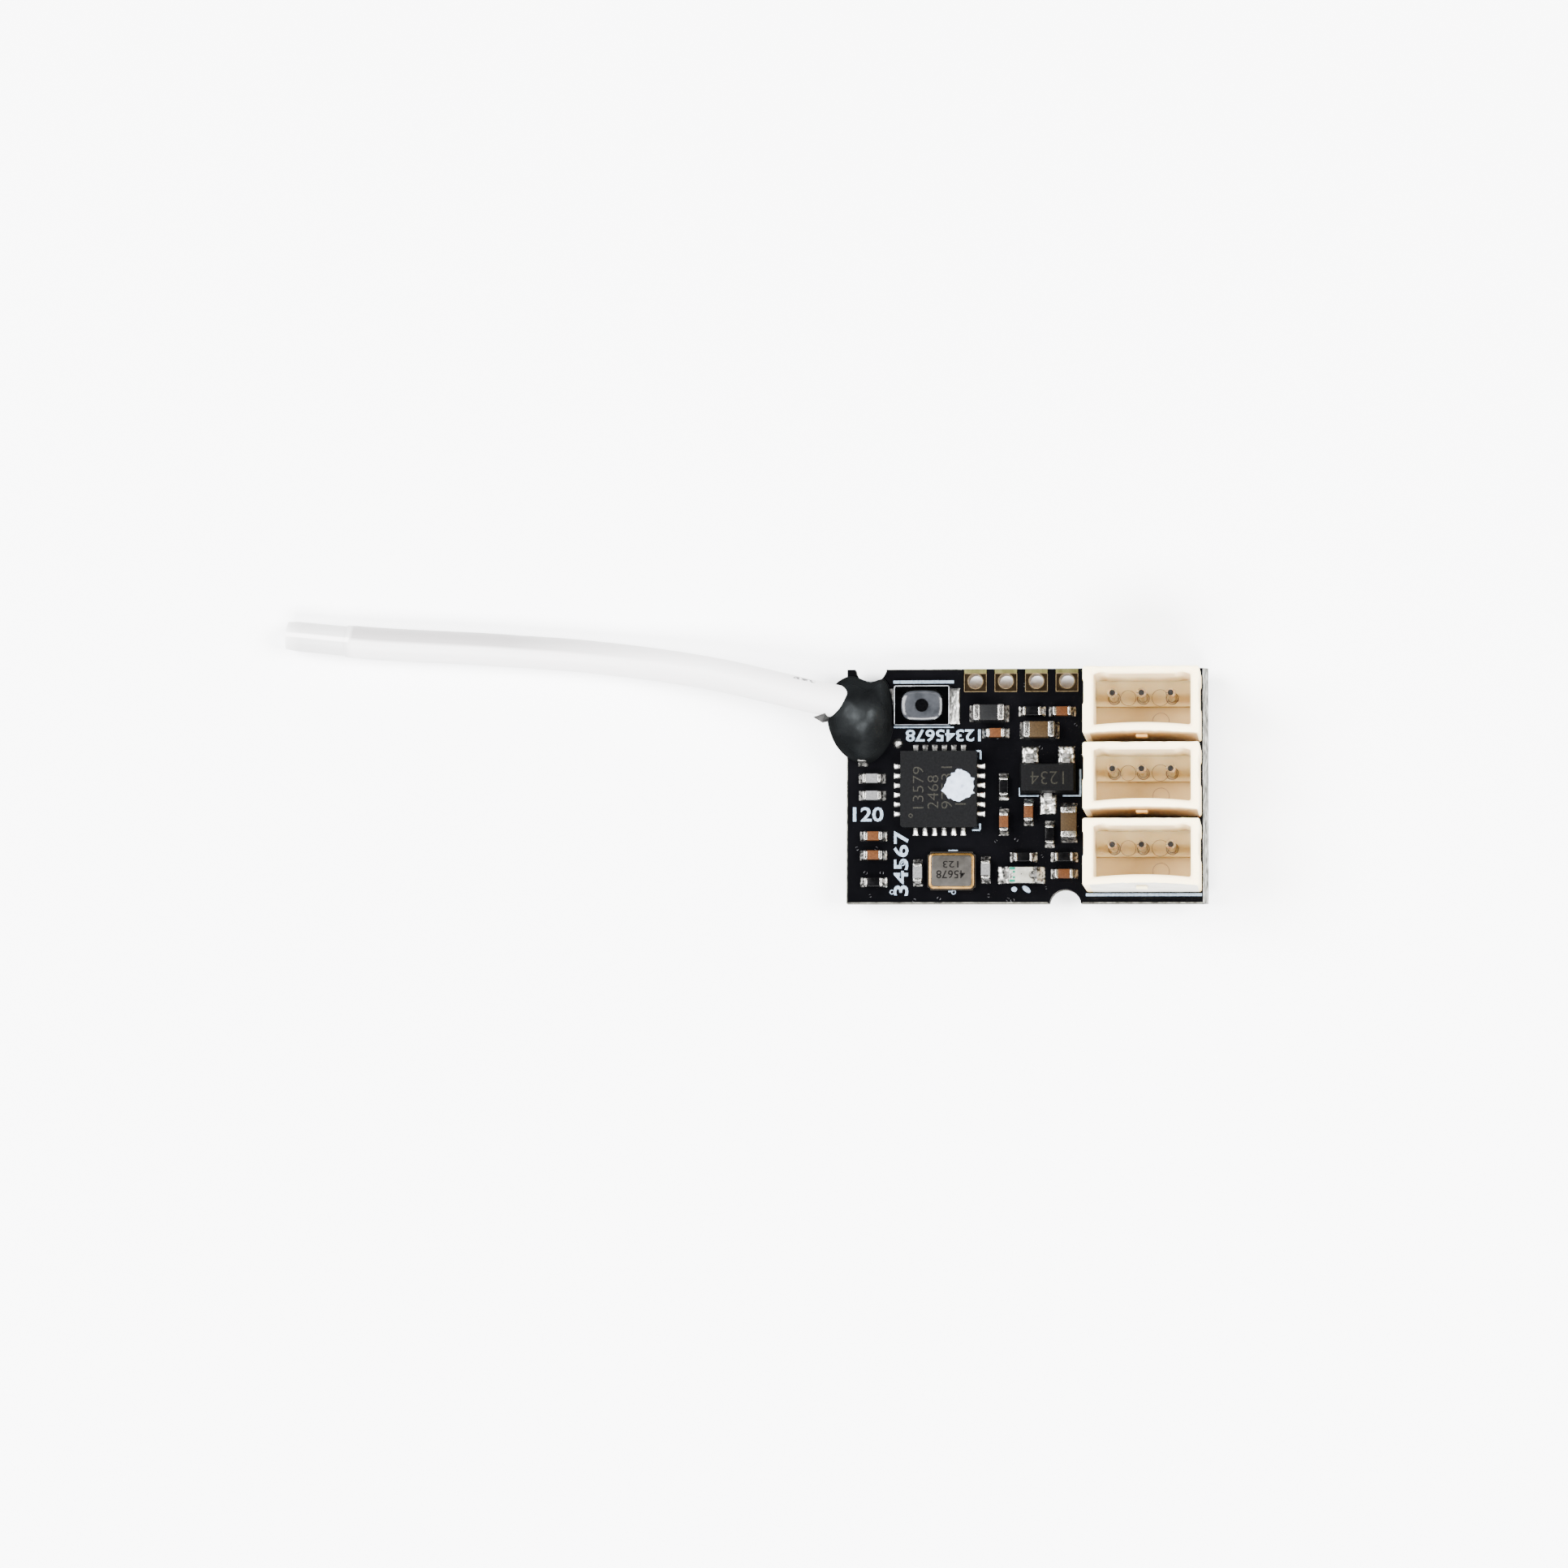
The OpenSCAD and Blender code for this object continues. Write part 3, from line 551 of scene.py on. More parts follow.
# %% Floor and lights
floor_paint = Paint("floor_paint", Roughness=0.75)
floor_paint.speckle(40.0, (0.92, 0.922, 0.93), (0.94, 0.942, 0.948), detail=2)
floor_paint.relief(0.5, 0.004, detail=2)
bpy.ops.mesh.primitive_plane_add(size=1.6, location=(0, 0, -0.00002))
floor = bpy.context.object
floor.name = "floor"
floor.data.materials.append(floor_paint.material)


def softbox(name, place, size, power):
    """A square lamp that looks at the origin. Place and size are in metres."""
    light = bpy.data.objects.new(name, bpy.data.lights.new(name, "AREA"))
    light.data.shape = "RECTANGLE"
    light.data.size, light.data.size_y = size
    light.data.energy = power
    light.location = place
    light.rotation_euler = (-Vector(place)).to_track_quat("-Z", "Y").to_euler()
    bpy.context.scene.collection.objects.link(light)


softbox("softbox_left", (-0.40, 0.10, 0.50), (0.35, 0.35), 20.0)
softbox("softbox_right", (0.43, 0.04, 0.48), (0.35, 0.35), 18.0)
softbox("softbox_front", (0.0, -0.38, 0.54), (0.5, 0.22), 20.0)
softbox("softbox_back", (0.0, 0.40, 0.55), (0.4, 0.15), 1.0)
world = bpy.data.worlds.new("studio")
world.use_nodes = True
world.node_tree.nodes["Background"].inputs["Color"].default_value = (0.55, 0.56, 0.58, 1)
world.node_tree.nodes["Background"].inputs["Strength"].default_value = 0.2
bpy.context.scene.world = world
print("floor and four softboxes placed")

# %% [markdown]
# ## The glue
# One blob of black glue grips the sleeve and wraps the board's corner. It swells from a ring
# that hangs over the edge to a soft crown. Metaballs would merge as nicely, but a loft
# through scaled copies of one outline keeps its lobes just where the photograph has them.

# %% Glue blob
GLUE_OUTLINE = [
    (2.45, 3.2), (2.4, 4.5), (2.0, 5.6), (1.2, 5.5), (0.2, 5.8), (-0.6, 5.4),
    (-0.95, 4.5), (-1.03, 3.4), (-0.6, 2.2), (0.2, 1.42), (1.2, 1.22), (2.1, 2.0),
]
GLUE_MIDDLE = Vector((0.9, 3.6, 0))
GLUE_LOW = TOP - 0.5
GLUE_RISE = [
    (0.78, 0.0), (0.95, 0.05), (1.0, 0.14), (0.98, 0.3), (0.9, 0.5), (0.76, 0.68),
    (0.58, 0.82), (0.38, 0.93), (0.18, 0.99), (0.02, 1.0),
]
GLUE_TALL, GLUE_CROWN_R = 2.83, 2.05

# Part metal with a black edge tint, so that steep sides don't mirror the white floor
glue_black = Paint(
    "glue_black", Metallic=0.6, Specular_IOR_Level=0.0, Specular_Tint=(0, 0, 0, 1)
)
glue_black.speckle(
    1.6, (0.0050, 0.0055, 0.0058), (0.0105, 0.0115, 0.012), detail=4, span=(0.35, 0.7)
)
glue_black.roughness(0.7, 0.34, 0.46, detail=5)
glue_black.relief(1.1, 0.08, detail=2)
glue_black.relief(0.12, 0.003, detail=3)

outline = smooth_loop([(x, y, 0) for x, y in GLUE_OUTLINE], 10)
glue_rings = []
for share, rise, _ in smooth_path([(s, r, 0) for s, r in GLUE_RISE], 4):
    ring = []
    for q in outline:
        # Towards the crown the lobed outline gives way to a plain oval
        away = q - GLUE_MIDDLE
        oval = away.normalized() * GLUE_CROWN_R
        flat = GLUE_MIDDLE + share * oval.lerp(away, min(1.0, 1.15 * share**1.5))
        lump = (1 + noise.noise(Vector((flat.x * 0.7 + 3, flat.y * 0.7, 0)))) * 0.15 * rise
        ring.append((LEFT + flat.x, flat.y, GLUE_LOW + GLUE_TALL * min(rise, 1.0) - lump))
    glue_rings.append(ring)
glue = Shape()
glue.loft(glue_rings, glue_black)
glue.make("glue_blob", replaces=["glue_relief"], smooth=80)
print("glue blob with", len(glue_rings), "rings")

# %% [markdown]
# A torn flake of dried glue stands off the blob's left edge. A plane with a Solidify
# modifier would do, but a bent sheet of eight points is as short, and nothing finer shows.

# %% Glue flake
flake_grey = Paint("flake_grey", Roughness=0.4, Specular_IOR_Level=0.05)
flake_grey.speckle(0.3, (0.008, 0.008, 0.008), (0.03, 0.03, 0.029), detail=4)
flake_grey.relief(0.15, 0.01, detail=3)
flake = Shape()
FLAKE_THICK = 0.06
corners = [(-1.74, 3.60, 2.5), (-1.24, 3.30, 2.55), (-0.8, 3.42, 2.35), (-1.05, 3.74, 3.22)]
flake.add(
    corners + [(x, y, z - FLAKE_THICK) for x, y, z in corners],
    [[0, 1, 2, 3], [7, 6, 5, 4], [1, 0, 4, 5], [2, 1, 5, 6], [3, 2, 6, 7], [0, 3, 7, 4]],
    flake_grey,
    at(LEFT, 0, 0),
)
flake.make("glue_flake", smooth=0)
print("flake with", len(corners), "corners")

# %% [markdown]
# ## The board
# The CAD board stays. Its faces get one of four finishes by where they lie and face: solder
# mask above and below, sawn laminate round the rim, the fibrous bevel of the scored edge,
# and plating in the holes. Vertex colours could blend them, but real edges are crisp here.

# %% Board finishes
mask_black = Paint("mask_black", Roughness=0.2, Specular_IOR_Level=0.06)
mask_black.speckle(
    2.5, (0.0006, 0.0006, 0.0008), (0.0014, 0.0014, 0.0018), detail=5, span=(0.35, 0.72)
)
mask_black.roughness(0.9, 0.12, 0.22, detail=4)
mask_black.relief(0.35, 0.006, detail=4)
mask_black.bump(mask_black.cells(0.07), 0.0015)

laminate = Paint("laminate", Roughness=0.7, Specular_IOR_Level=0.08)
laminate.colours(
    laminate.noise(0.1, detail=6, stretch=(0.5, 0.5, 2.5)),
    (0.3, (0.006, 0.0055, 0.0035)),
    (0.52, (0.016, 0.0145, 0.0095)),
    (0.75, (0.036, 0.033, 0.023)),
)
laminate.relief(0.06, 0.012, detail=6, stretch=(0.5, 0.5, 4))

fibre_edge = Paint("fibre_edge", Roughness=0.8)
fibre_edge.colours(
    fibre_edge.noise(0.16, detail=6, stretch=(2, 0.35, 2)),
    (0.32, (0.01, 0.01, 0.008)),
    (0.5, (0.11, 0.11, 0.095)),
    (0.72, (0.34, 0.34, 0.32)),
)
fibre_edge.relief(0.1, 0.05, detail=6, stretch=(2, 0.3, 2))

gilt = Paint("gilt", Metallic=1.0, Roughness=0.2)
gilt.speckle(0.5, (0.20, 0.11, 0.03), (0.36, 0.21, 0.065), detail=4)
gilt.roughness(0.2, 0.14, 0.34, detail=4)
gilt.relief(0.15, 0.004, detail=5)

HOLE_REACH, BEVEL_WIDE = 0.45, 0.3
HOLES = [middle(f"edge_pad_{i}") for i in range(1, 5)]
HOLES += [middle(f"header_pin_{h}_{p}") for h in range(1, 4) for p in range(1, 4)]


def board_finish(centre, normal):
    """0 mask, 1 laminate, 2 fibrous bevel, 3 plating."""
    if abs(normal.z) > 0.9:
        return 0
    if any((centre.xy - hole.xy).length < HOLE_REACH for hole in HOLES):
        return 3
    return 2 if centre.x > BOARD_HIGH.x - BEVEL_WIDE and normal.x > 0.3 else 1


dress("board", mask_black, laminate, fibre_edge, gilt, choose=board_finish)
print("board finished in four materials")

# %% [markdown]
# The four plated pads are flat gold over copper, and mirror the dark above them, so they
# look bronze. They could share the material of the holes, but that one is rougher and
# would shine too much when it lies flat.

# %% Gilt pads
pad_gilt = Paint("pad_gilt", Metallic=1.0, Roughness=0.12)
pad_gilt.speckle(0.5, (0.20, 0.125, 0.06), (0.32, 0.21, 0.11), detail=4)
pad_gilt.roughness(0.2, 0.08, 0.16, detail=4)
pad_gilt.relief(0.3, 0.001, detail=3)
for i in range(1, 5):
    dress(f"edge_pad_{i}", pad_gilt)
print("four gilt pads")

# %% [markdown]
# ## Print on the board
# Pale print lies on the solder mask, here as plain bars, rings and digits. Text objects would
# be simpler to keep, but as meshes the marks export with the part.

# %% Print material and lettering
print_white = Paint("print_white", Roughness=0.6, Specular_IOR_Level=0.05)
print_white.colours(
    print_white.noise(0.12, detail=5),
    (0.3, (0.07, 0.095, 0.125)),
    (0.5, (0.14, 0.18, 0.225)),
    (0.75, (0.20, 0.245, 0.29)),
)
print_white.relief(0.06, 0.006, detail=3)


def lettering(shape, text, x0, y0, x1, y1, z, paint, turn=0, bold=0.02, thick=0.014):
    """Digits stretched into a box, turned by quarter or half turns, bold by an outline offset."""
    curve = bpy.data.curves.new(text, "FONT")
    curve.body = text
    curve.offset = bold
    curve.resolution_u = 3
    letter = bpy.data.objects.new(text, curve)
    bpy.context.scene.collection.objects.link(letter)
    graph = bpy.context.evaluated_depsgraph_get()
    flat = bpy.data.meshes.new_from_object(letter.evaluated_get(graph))
    bpy.data.objects.remove(letter)
    bm = bmesh.new()
    bm.from_mesh(flat)
    bmesh.ops.remove_doubles(bm, verts=bm.verts, dist=1e-5)
    bm.transform(Matrix.Rotation(math.radians(turn), 4, "Z"))
    low = [min(v.co[i] for v in bm.verts) for i in range(2)]
    high = [max(v.co[i] for v in bm.verts) for i in range(2)]
    for v in bm.verts:
        v.co.x = x0 + (v.co.x - low[0]) / (high[0] - low[0]) * (x1 - x0)
        v.co.y = y0 + (v.co.y - low[1]) / (high[1] - low[1]) * (y1 - y0)
        v.co.z = z
    bm.normal_update()
    foot = bm.faces[:]
    made = bmesh.ops.extrude_face_region(bm, geom=foot + bm.edges[:] + bm.verts[:])
    for v in (g for g in made["geom"] if isinstance(g, bmesh.types.BMVert)):
        v.co.z += thick
    bmesh.ops.reverse_faces(bm, faces=foot)
    shape.take(bm, paint)


def bar(shape, x0, y0, x1, y1, paint, thick=0.014, z=TOP):
    size = (x1 - x0, y1 - y0, thick)
    shape.block(size, ((x0 + x1) / 2, (y0 + y1) / 2, z + thick / 2), paint, 0.006, segments=1)


def spot_ring(shape, x, y, radius, wide, paint, thick=0.014, z=TOP):
    shape.loft(ridge(radius, wide, thick), paint, at(x, y, z))


print("digits from Blender's own font")

# %% [markdown]
# One piece holds all the print, above and below. Bars, digits and rings are listed by their
# corners on the board, in millimetres, as a board maker's own drawing lists them. A picture
# of the print would be quicker, but turns to steps when the camera comes close.

# %% Print on the board
silk = Shape()
for x0, y0, x1, y1 in (
    (-7.02, 5.40, -3.84, 5.56), (-7.0, 3.06, -3.84, 3.13), (3.08, -5.79, 9.12, -5.64),
    (-0.40, -0.57, 0.62, -0.50), (-0.42, -0.55, -0.36, -0.1), (1.86, -0.57, 2.83, -0.49),
    (2.74, -0.5, 2.84, 0.86), (-2.66, 1.78, -2.42, 1.88), (-2.48, 1.4, -2.38, 1.82),
    (-2.86, -2.36, -2.46, -2.28), (-2.5, -2.3, -2.40, -1.98), (-4.1, -3.42, -3.62, -3.35),
    (-4.1, -5.56, -3.86, -5.49), (-6.66, -4.85, -6.56, -4.55),
):
    bar(silk, x0, y0, x1, y1, print_white)
lettering(silk, "12345678", -6.36, 2.33, -2.42, 2.98, TOP, print_white, 180)
lettering(silk, "120", -9.12, -1.86, -7.52, -1.1, TOP, print_white)
lettering(silk, "34567", -6.98, -5.75, -6.2, -2.35, TOP, print_white, 90)
for x, y in ((-7.06, -5.56), (-6.51, -4.07), (-3.83, -5.57)):
    spot_ring(silk, x, y, 0.1, 0.045, print_white)
for x, y, wide, tall, turn in ((-0.66, -5.42, 0.3, 0.27, 0), (-0.02, -5.42, 0.5, 0.26, -38)):
    rings = [
        [(wide / 2 * a, tall / 2 * b, z) for a, b, _ in circle(share, 24)]
        for share, z in ((1.0, 0.0), (1.0, 0.01), (0.9, 0.016), (0.1, 0.018))
    ]
    silk.loft(rings, print_white, at(x, y, TOP, turn))
under = BOARD_LOW.z - 0.014
for x0, y0, x1, y1 in ((-6.2, 4.6, -3.0, 4.7), (3.3, -5.7, 8.9, -5.6), (3.3, 5.6, 8.9, 5.7)):
    bar(silk, x0, y0, x1, y1, print_white, 0.014, under)
lettering(silk, "24680", 2.4, -4.9, -0.6, -4.2, under, print_white)
for x, y in (
    (-7.6, -4.2), (-8.3, 0.6), (-4.4, 3.7), (0.4, 3.4), (1.9, 1.6), (0.7, -2.6), (2.6, -2.2),
):
    spot_ring(silk, x, y, 0.1, 0.03, print_white, 0.01, under + 0.004)
silk.make("board_print", smooth=0)
print("print faces:", len(silk.faces))

# %% [markdown]
# A saw has cut through the pads and the board, so their edges glint. Thin bars trace the
# pads, a strip of bare laminate runs above them, and frayed glass fibre edges the board. A
# bevel on the CAD mesh would change it, so the edges are laid on as slim pieces.

# %% Pad edges and cut edges
strip_olive = Paint("strip_olive", Roughness=0.5, Specular_IOR_Level=0.04)
strip_olive.colours(
    strip_olive.noise(0.25, detail=5, stretch=(1, 0.4, 1)),
    (0.3, (0.030, 0.027, 0.008)),
    (0.7, (0.060, 0.056, 0.020)),
)
strip_olive.relief(0.08, 0.008, detail=4)
gilt_edge = Paint("gilt_edge", Metallic=0.5, Roughness=0.35)
gilt_edge.speckle(0.2, (0.05, 0.032, 0.012), (0.13, 0.095, 0.045), detail=4)
gilt_edge.relief(0.07, 0.006, detail=4)
STRIP, LINE, OUT, PROUD = 0.14, 0.026, 0.004, 0.062
HOLE_LINE = {"radius": 0.395, "wide": 0.035, "z": TOP + 0.05}
pads = Shape()
for i in range(1, 5):
    low, high = box(f"edge_pad_{i}")
    upper = high.y - STRIP
    bar(pads, low.x, upper, high.x, BOARD_HIGH.y - 0.002, strip_olive, PROUD)
    for x0, y0, x1, y1 in (
        (low.x - OUT, low.y, low.x + LINE, upper),
        (high.x - LINE, low.y, high.x + OUT, upper),
        (low.x, low.y - OUT, high.x, low.y + LINE),
        (low.x, upper - 0.035, high.x, upper),
    ):
        bar(pads, x0, y0, x1, y1, gilt_edge, PROUD)
    centre = (low + high) / 2
    spot_ring(pads, centre.x, centre.y, paint=gilt_edge, **HOLE_LINE)
pads.make("pad_edges", smooth=30)

cut_fibre = Paint("cut_fibre", Roughness=0.7, Specular_IOR_Level=0.1)
cut_fibre.speckle(0.3, (0.012, 0.012, 0.009), (0.13, 0.13, 0.105), detail=6, span=(0.35, 0.65))
cut_fibre.relief(0.06, 0.006, detail=3)
edges = Shape()
bar(edges, BOARD_LOW.x + 0.001, BOARD_LOW.y + 0.02, BOARD_LOW.x + 0.045, 1.5, cut_fibre, 0.01)
for x0, x1 in ((BOARD_LOW.x + 0.02, 1.1), (2.9, BOARD_HIGH.x - 0.3)):
    bar(edges, x0, BOARD_LOW.y + 0.001, x1, BOARD_LOW.y + 0.05, cut_fibre, 0.01)
bar(edges, -7.3, BOARD_HIGH.y - 0.03, -3.4, BOARD_HIGH.y - 0.001, cut_fibre, 0.01)
edges.make("cut_edges", smooth=0)
print("pad edges:", len(pads.faces), "faces, cut edges:", len(edges.faces), "faces")

# %% [markdown]
# ## Vias
# Holes that join the board's layers are plugged and painted over, and show only as pairs of
# tiny bright crescents. Spots in the mask's colour would do from afar. A pair of arcs that
# taper to points is modelled instead, because a real edge glints as the light moves.

# %% One pair of crescents
via_grey = Paint("via_grey", Roughness=0.4, Specular_IOR_Level=0.3)
via_grey.speckle(0.05, (0.002, 0.002, 0.0024), (0.05, 0.052, 0.056), detail=4, span=(0.35, 0.65))
via_grey.relief(0.04, 0.004)
VIA_R, VIA_LINE, VIA_RIDGE, HALF_ARC = 0.08, 0.013, 0.009, 55
crescent = Shape()
for turn in (0, 180):
    arc = []
    for k in range(9):
        a = math.radians(HALF_ARC * (k / 4 - 1))
        wide = VIA_LINE * math.sin(math.pi * (k + 0.4) / 8.8)
        section = [(VIA_R - wide, 0), (VIA_R - wide / 2, VIA_RIDGE), (VIA_R + wide, 0)]
        arc.append([(q * math.cos(a), q * math.sin(a), z) for q, z in section])
    crescent.loft(arc, via_grey, at(0, 0, 0, turn))
via_master = crescent.make("via_master", smooth=0)
print("crescents:", len(crescent.faces), "faces")

# %% [markdown]
# Two helpers lay out a geometry tree, which could be drawn by hand in the node editor too,
# but a script shows each link in words. The third sets the tree's inputs on a modifier by
# each socket's identifier, since names may repeat, and takes out the grown mesh.

# %% Tools for geometry trees


def tree_socket(tree, name, kind, way="INPUT"):
    """A named input or output of a tree, by its identifier."""
    return tree.interface.new_socket(name=name, in_out=way, socket_type=kind).identifier


class Tree:
    """Short calls to lay out the nodes of a geometry tree."""

    def __init__(self, tree):
        self.tree = tree
        self.input = tree.nodes.new("NodeGroupInput")
        self.output = tree.nodes.new("NodeGroupOutput")

    def add(self, kind, inputs=None, **settings):
        node = self.tree.nodes.new(kind)
        for key, value in settings.items():
            setattr(node, key, value)
        for key, value in (inputs or {}).items():
            if isinstance(value, bpy.types.NodeSocket):
                self.tree.links.new(value, node.inputs[key])
            else:
                node.inputs[key].default_value = value
        return node

    def finish(self, geometry):
        self.tree.links.new(geometry, self.output.inputs[0])


def grow(source, tree, values, name, place=None):
    """The mesh that a geometry tree grows on an object, as an object of its own."""
    modifier = source.modifiers.new("grow", "NODES")
    modifier.node_group = tree
    for key, value in values.items():
        modifier[key] = value
    graph = bpy.context.evaluated_depsgraph_get()
    mesh = bpy.data.meshes.new_from_object(source.evaluated_get(graph))
    source.modifiers.remove(modifier)
    piece = bpy.data.objects.new(name, mesh)
    bpy.context.scene.collection.objects.link(piece)
    if place is not None:
        mesh.transform(Matrix.Translation(place * MM))
    return piece


print("tree tools ready")

# %% [markdown]
# The tree sets a copy of the pair on each listed point, with a turn and a size of its own
# from a fixed seed. A particle system could scatter them, but then nobody could say where.

# %% Vias, by Geometry Nodes
VIAS = [
    (-8.9, -3.27), (-7.9, -3.27), (-8.45, -4.55), (-7.6, -4.55), (-0.55, -2.83), (-0.4, -3.85),
    (0.8, -3.68), (-0.75, -6.0), (0.72, 2.0), (-7.5, 2.05), (-1.33, -1.2), (0.95, -1.25),
    (-1.62, -2.9), (2.6, -2.1), (2.9, 1.6), (-1.0, -5.95), (1.0, -5.35), (2.55, 3.2), (-5.9, -6.0),
    (-4.6, -5.9), (-2.0, -5.75), (-8.2, -5.75), (-1.55, 2.55), (-0.1, 5.3), (2.85, -0.1),
]
via_tree = bpy.data.node_groups.new("via_field", "GeometryNodeTree")
tree_socket(via_tree, "Geometry", "NodeSocketGeometry")
VIA = {
    "master": tree_socket(via_tree, "Crescents", "NodeSocketObject"),
    "seed": tree_socket(via_tree, "Seed", "NodeSocketInt"),
    "paint": tree_socket(via_tree, "Material", "NodeSocketMaterial"),
}
tree_socket(via_tree, "Geometry", "NodeSocketGeometry", "OUTPUT")
t = Tree(via_tree)
master_info = t.add("GeometryNodeObjectInfo", {"Object": t.input.outputs["Crescents"]})
# Sockets 2 and 3 of Random Value are the lowest and highest of its single numbers
turns = t.add("FunctionNodeRandomValue", {2: 0.0, 3: 3.14, "Seed": t.input.outputs["Seed"]})
turn_z = t.add("ShaderNodeCombineXYZ", {2: turns.outputs[1]})
sizes = t.add("FunctionNodeRandomValue", {2: 0.7, 3: 1.15, "Seed": 3})
copies = t.add(
    "GeometryNodeInstanceOnPoints",
    {
        "Points": t.input.outputs[0],
        "Instance": master_info.outputs["Geometry"],
        "Rotation": turn_z.outputs[0],
        "Scale": sizes.outputs[1],
    },
)
real = t.add("GeometryNodeRealizeInstances", {0: copies.outputs[0]})
painted = t.add(
    "GeometryNodeSetMaterial", {0: real.outputs[0], "Material": t.input.outputs["Material"]}
)
t.finish(painted.outputs[0])
dots = bpy.data.meshes.new("via_points")
dots.from_pydata([Vector((x, y, TOP)) * MM for x, y in VIAS], [], [])
via_points = bpy.data.objects.new("via_points", dots)
bpy.context.scene.collection.objects.link(via_points)
vias = grow(
    via_points,
    via_tree,
    {VIA["master"]: via_master, VIA["seed"]: 11, VIA["paint"]: via_grey.material},
    "via_crescents",
)
bpy.data.objects.remove(via_points)
bpy.data.objects.remove(via_master)
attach(vias, "receiver")
print("vias:", len(VIAS), "with", len(vias.data.polygons), "faces")

# %% [markdown]
# ## Servo headers
# Housings of natural nylon, slightly translucent, so light gathers in the rims and the
# sockets glow warm. An opaque plastic would render sooner, but looks like painted metal.
# The colour deepens from rim to floor along Z: painted shade and glow into the sockets.
# The pins are tinned and mirror the dark above.

# %% Header materials
ivory_nylon = Paint(
    "ivory_nylon", Roughness=0.5, Subsurface_Weight=0.6, Subsurface_Radius=(1.0, 0.72, 0.42)
)
ivory_nylon.shader.inputs["Subsurface Scale"].default_value = 0.6 * MM
ivory_nylon.soften(0.05)
# Painted shade: the nylon darkens and turns orange from the rim down to the board
depth = ivory_nylon.range(ivory_nylon.axis("Z"), TOP, TOP + 5.0)
mottle = ivory_nylon.range(ivory_nylon.noise(1.2, detail=4), 0, 1, -0.04, 0.04)
ivory_nylon.colours(
    ivory_nylon.math("ADD", depth, mottle, clamp=True),
    (0.0, (0.40, 0.24, 0.085)),
    (0.14, (0.46, 0.31, 0.12)),
    (0.2, (0.58, 0.44, 0.22)),
    (0.3, (0.62, 0.48, 0.26)),
    (0.7, (0.74, 0.60, 0.36)),
    (0.97, (0.84, 0.69, 0.44)),
)
ivory_nylon.roughness(0.4, 0.42, 0.6, detail=3)
ivory_nylon.relief(0.5, 0.015, detail=4, stretch=(1, 1, 0.3))
ivory_nylon.relief(0.06, 0.002, detail=2)

tinned = Paint("tinned", Metallic=1.0, Roughness=0.18)
tinned.speckle(0.3, (0.24, 0.21, 0.17), (0.42, 0.39, 0.35), detail=4)
tinned.roughness(0.1, 0.08, 0.22, detail=4)
tinned.relief(0.12, 0.006, detail=3, stretch=(1, 1, 0.2))

# Painted shade and glow for a lower wall that looks into a narrow gap: near black low down, amber
# higher up
amber_nylon = Paint(
    "amber_nylon", Roughness=0.45, Subsurface_Weight=0.3, Subsurface_Radius=(1.0, 0.65, 0.35)
)
amber_nylon.shader.inputs["Subsurface Scale"].default_value = 0.4 * MM
amber_nylon.colours(
    amber_nylon.range(amber_nylon.axis("Z"), TOP, TOP + 5.0),
    (0.0, (0.10, 0.045, 0.012)),
    (0.6, (0.30, 0.17, 0.06)),
    (0.92, (0.52, 0.36, 0.17)),
    (1.0, (0.8, 0.68, 0.48)),
)
amber_nylon.relief(0.3, 0.02, detail=4, stretch=(1, 1, 0.2))
# Painted shade: a flat grey for the lowest housing's lower wall
shaded_nylon = Paint("shaded_nylon", Roughness=0.5, Specular_IOR_Level=0.2)
shaded_nylon.speckle(1.4, (0.40, 0.38, 0.33), (0.54, 0.52, 0.46), detail=4)
shaded_nylon.relief(0.3, 0.02, detail=4)
# Painted glow: bright amber for the gate marks that look into a narrow gap
amber_glow = Paint("amber_glow", Roughness=0.4)
amber_glow.speckle(0.4, (0.5, 0.24, 0.05), (0.75, 0.45, 0.14))
amber_glow.relief(0.15, 0.01)
for h in range(1, 4):
    for p in range(1, 4):
        dress(f"header_pin_{h}_{p}", tinned)
print("nine pins tinned")

# %% [markdown]
# A housing's outline is a rectangle with round corners, cut into many short steps along its
# sides, so that one side can bow, the ends can be dented and a corner can be relieved. A
# plain rectangle would be stiffer than the soft mouldings are.

# %% Outline of a housing
SIDE_STEPS, CORNER_STEPS = 24, 4


def wall(low, high, corner, bow=0.0, dent=0.0, relief=0.0, pin_y=0.0):
    """Outline of a housing at one height. `bow` bends the lower side, `dent` the ends."""
    found = []
    ends = [(high.x, low.y, -90), (high.x, high.y, 0), (low.x, high.y, 90), (low.x, low.y, 180)]
    start = Vector((low.x + corner, low.y, 0))
    corner_counts = range(CORNER_STEPS + 1)
    for x, y, angle in ends:
        sx, sy = (1 if x == high.x else -1), (1 if y == high.y else -1)
        hub = Vector((x - sx * corner, y - sy * corner, 0))
        arc = [
            hub + corner * Vector((math.cos(a), math.sin(a), 0))
            for a in (math.radians(angle + 90 * k / CORNER_STEPS) for k in corner_counts)
        ]
        for k in range(1, SIDE_STEPS):
            t = k / SIDE_STEPS
            q = start.lerp(arc[0], t)
            if angle == -90:
                q.y += bow * (1 - (2 * t - 1) ** 2)
            elif angle == 90:
                q.y += relief if min(q.x - low.x, high.x - q.x) < 0.6 else 0
            elif abs(q.y - pin_y) < 0.6:
                q.x += dent if angle == 180 else -dent
            found.append(q)
        found += arc
        start = arc[-1]
    return found


def inside(corners, left, bottom, right, top):
    """Two corners moved inwards by four margins."""
    low, high = corners
    return Vector((low.x + left, low.y + bottom, 0)), Vector((high.x - right, high.y - top, 0))


print("outline steps on a side:", SIDE_STEPS)

# %% [markdown]
# Each housing is one skin that runs up the outside, over the rim and down into the socket.
# Its long lower wall bows inward and the rim is a little ragged, as on simple mouldings. A
# boolean could cut the socket, but a skin gives the rim its own soft rings of points.

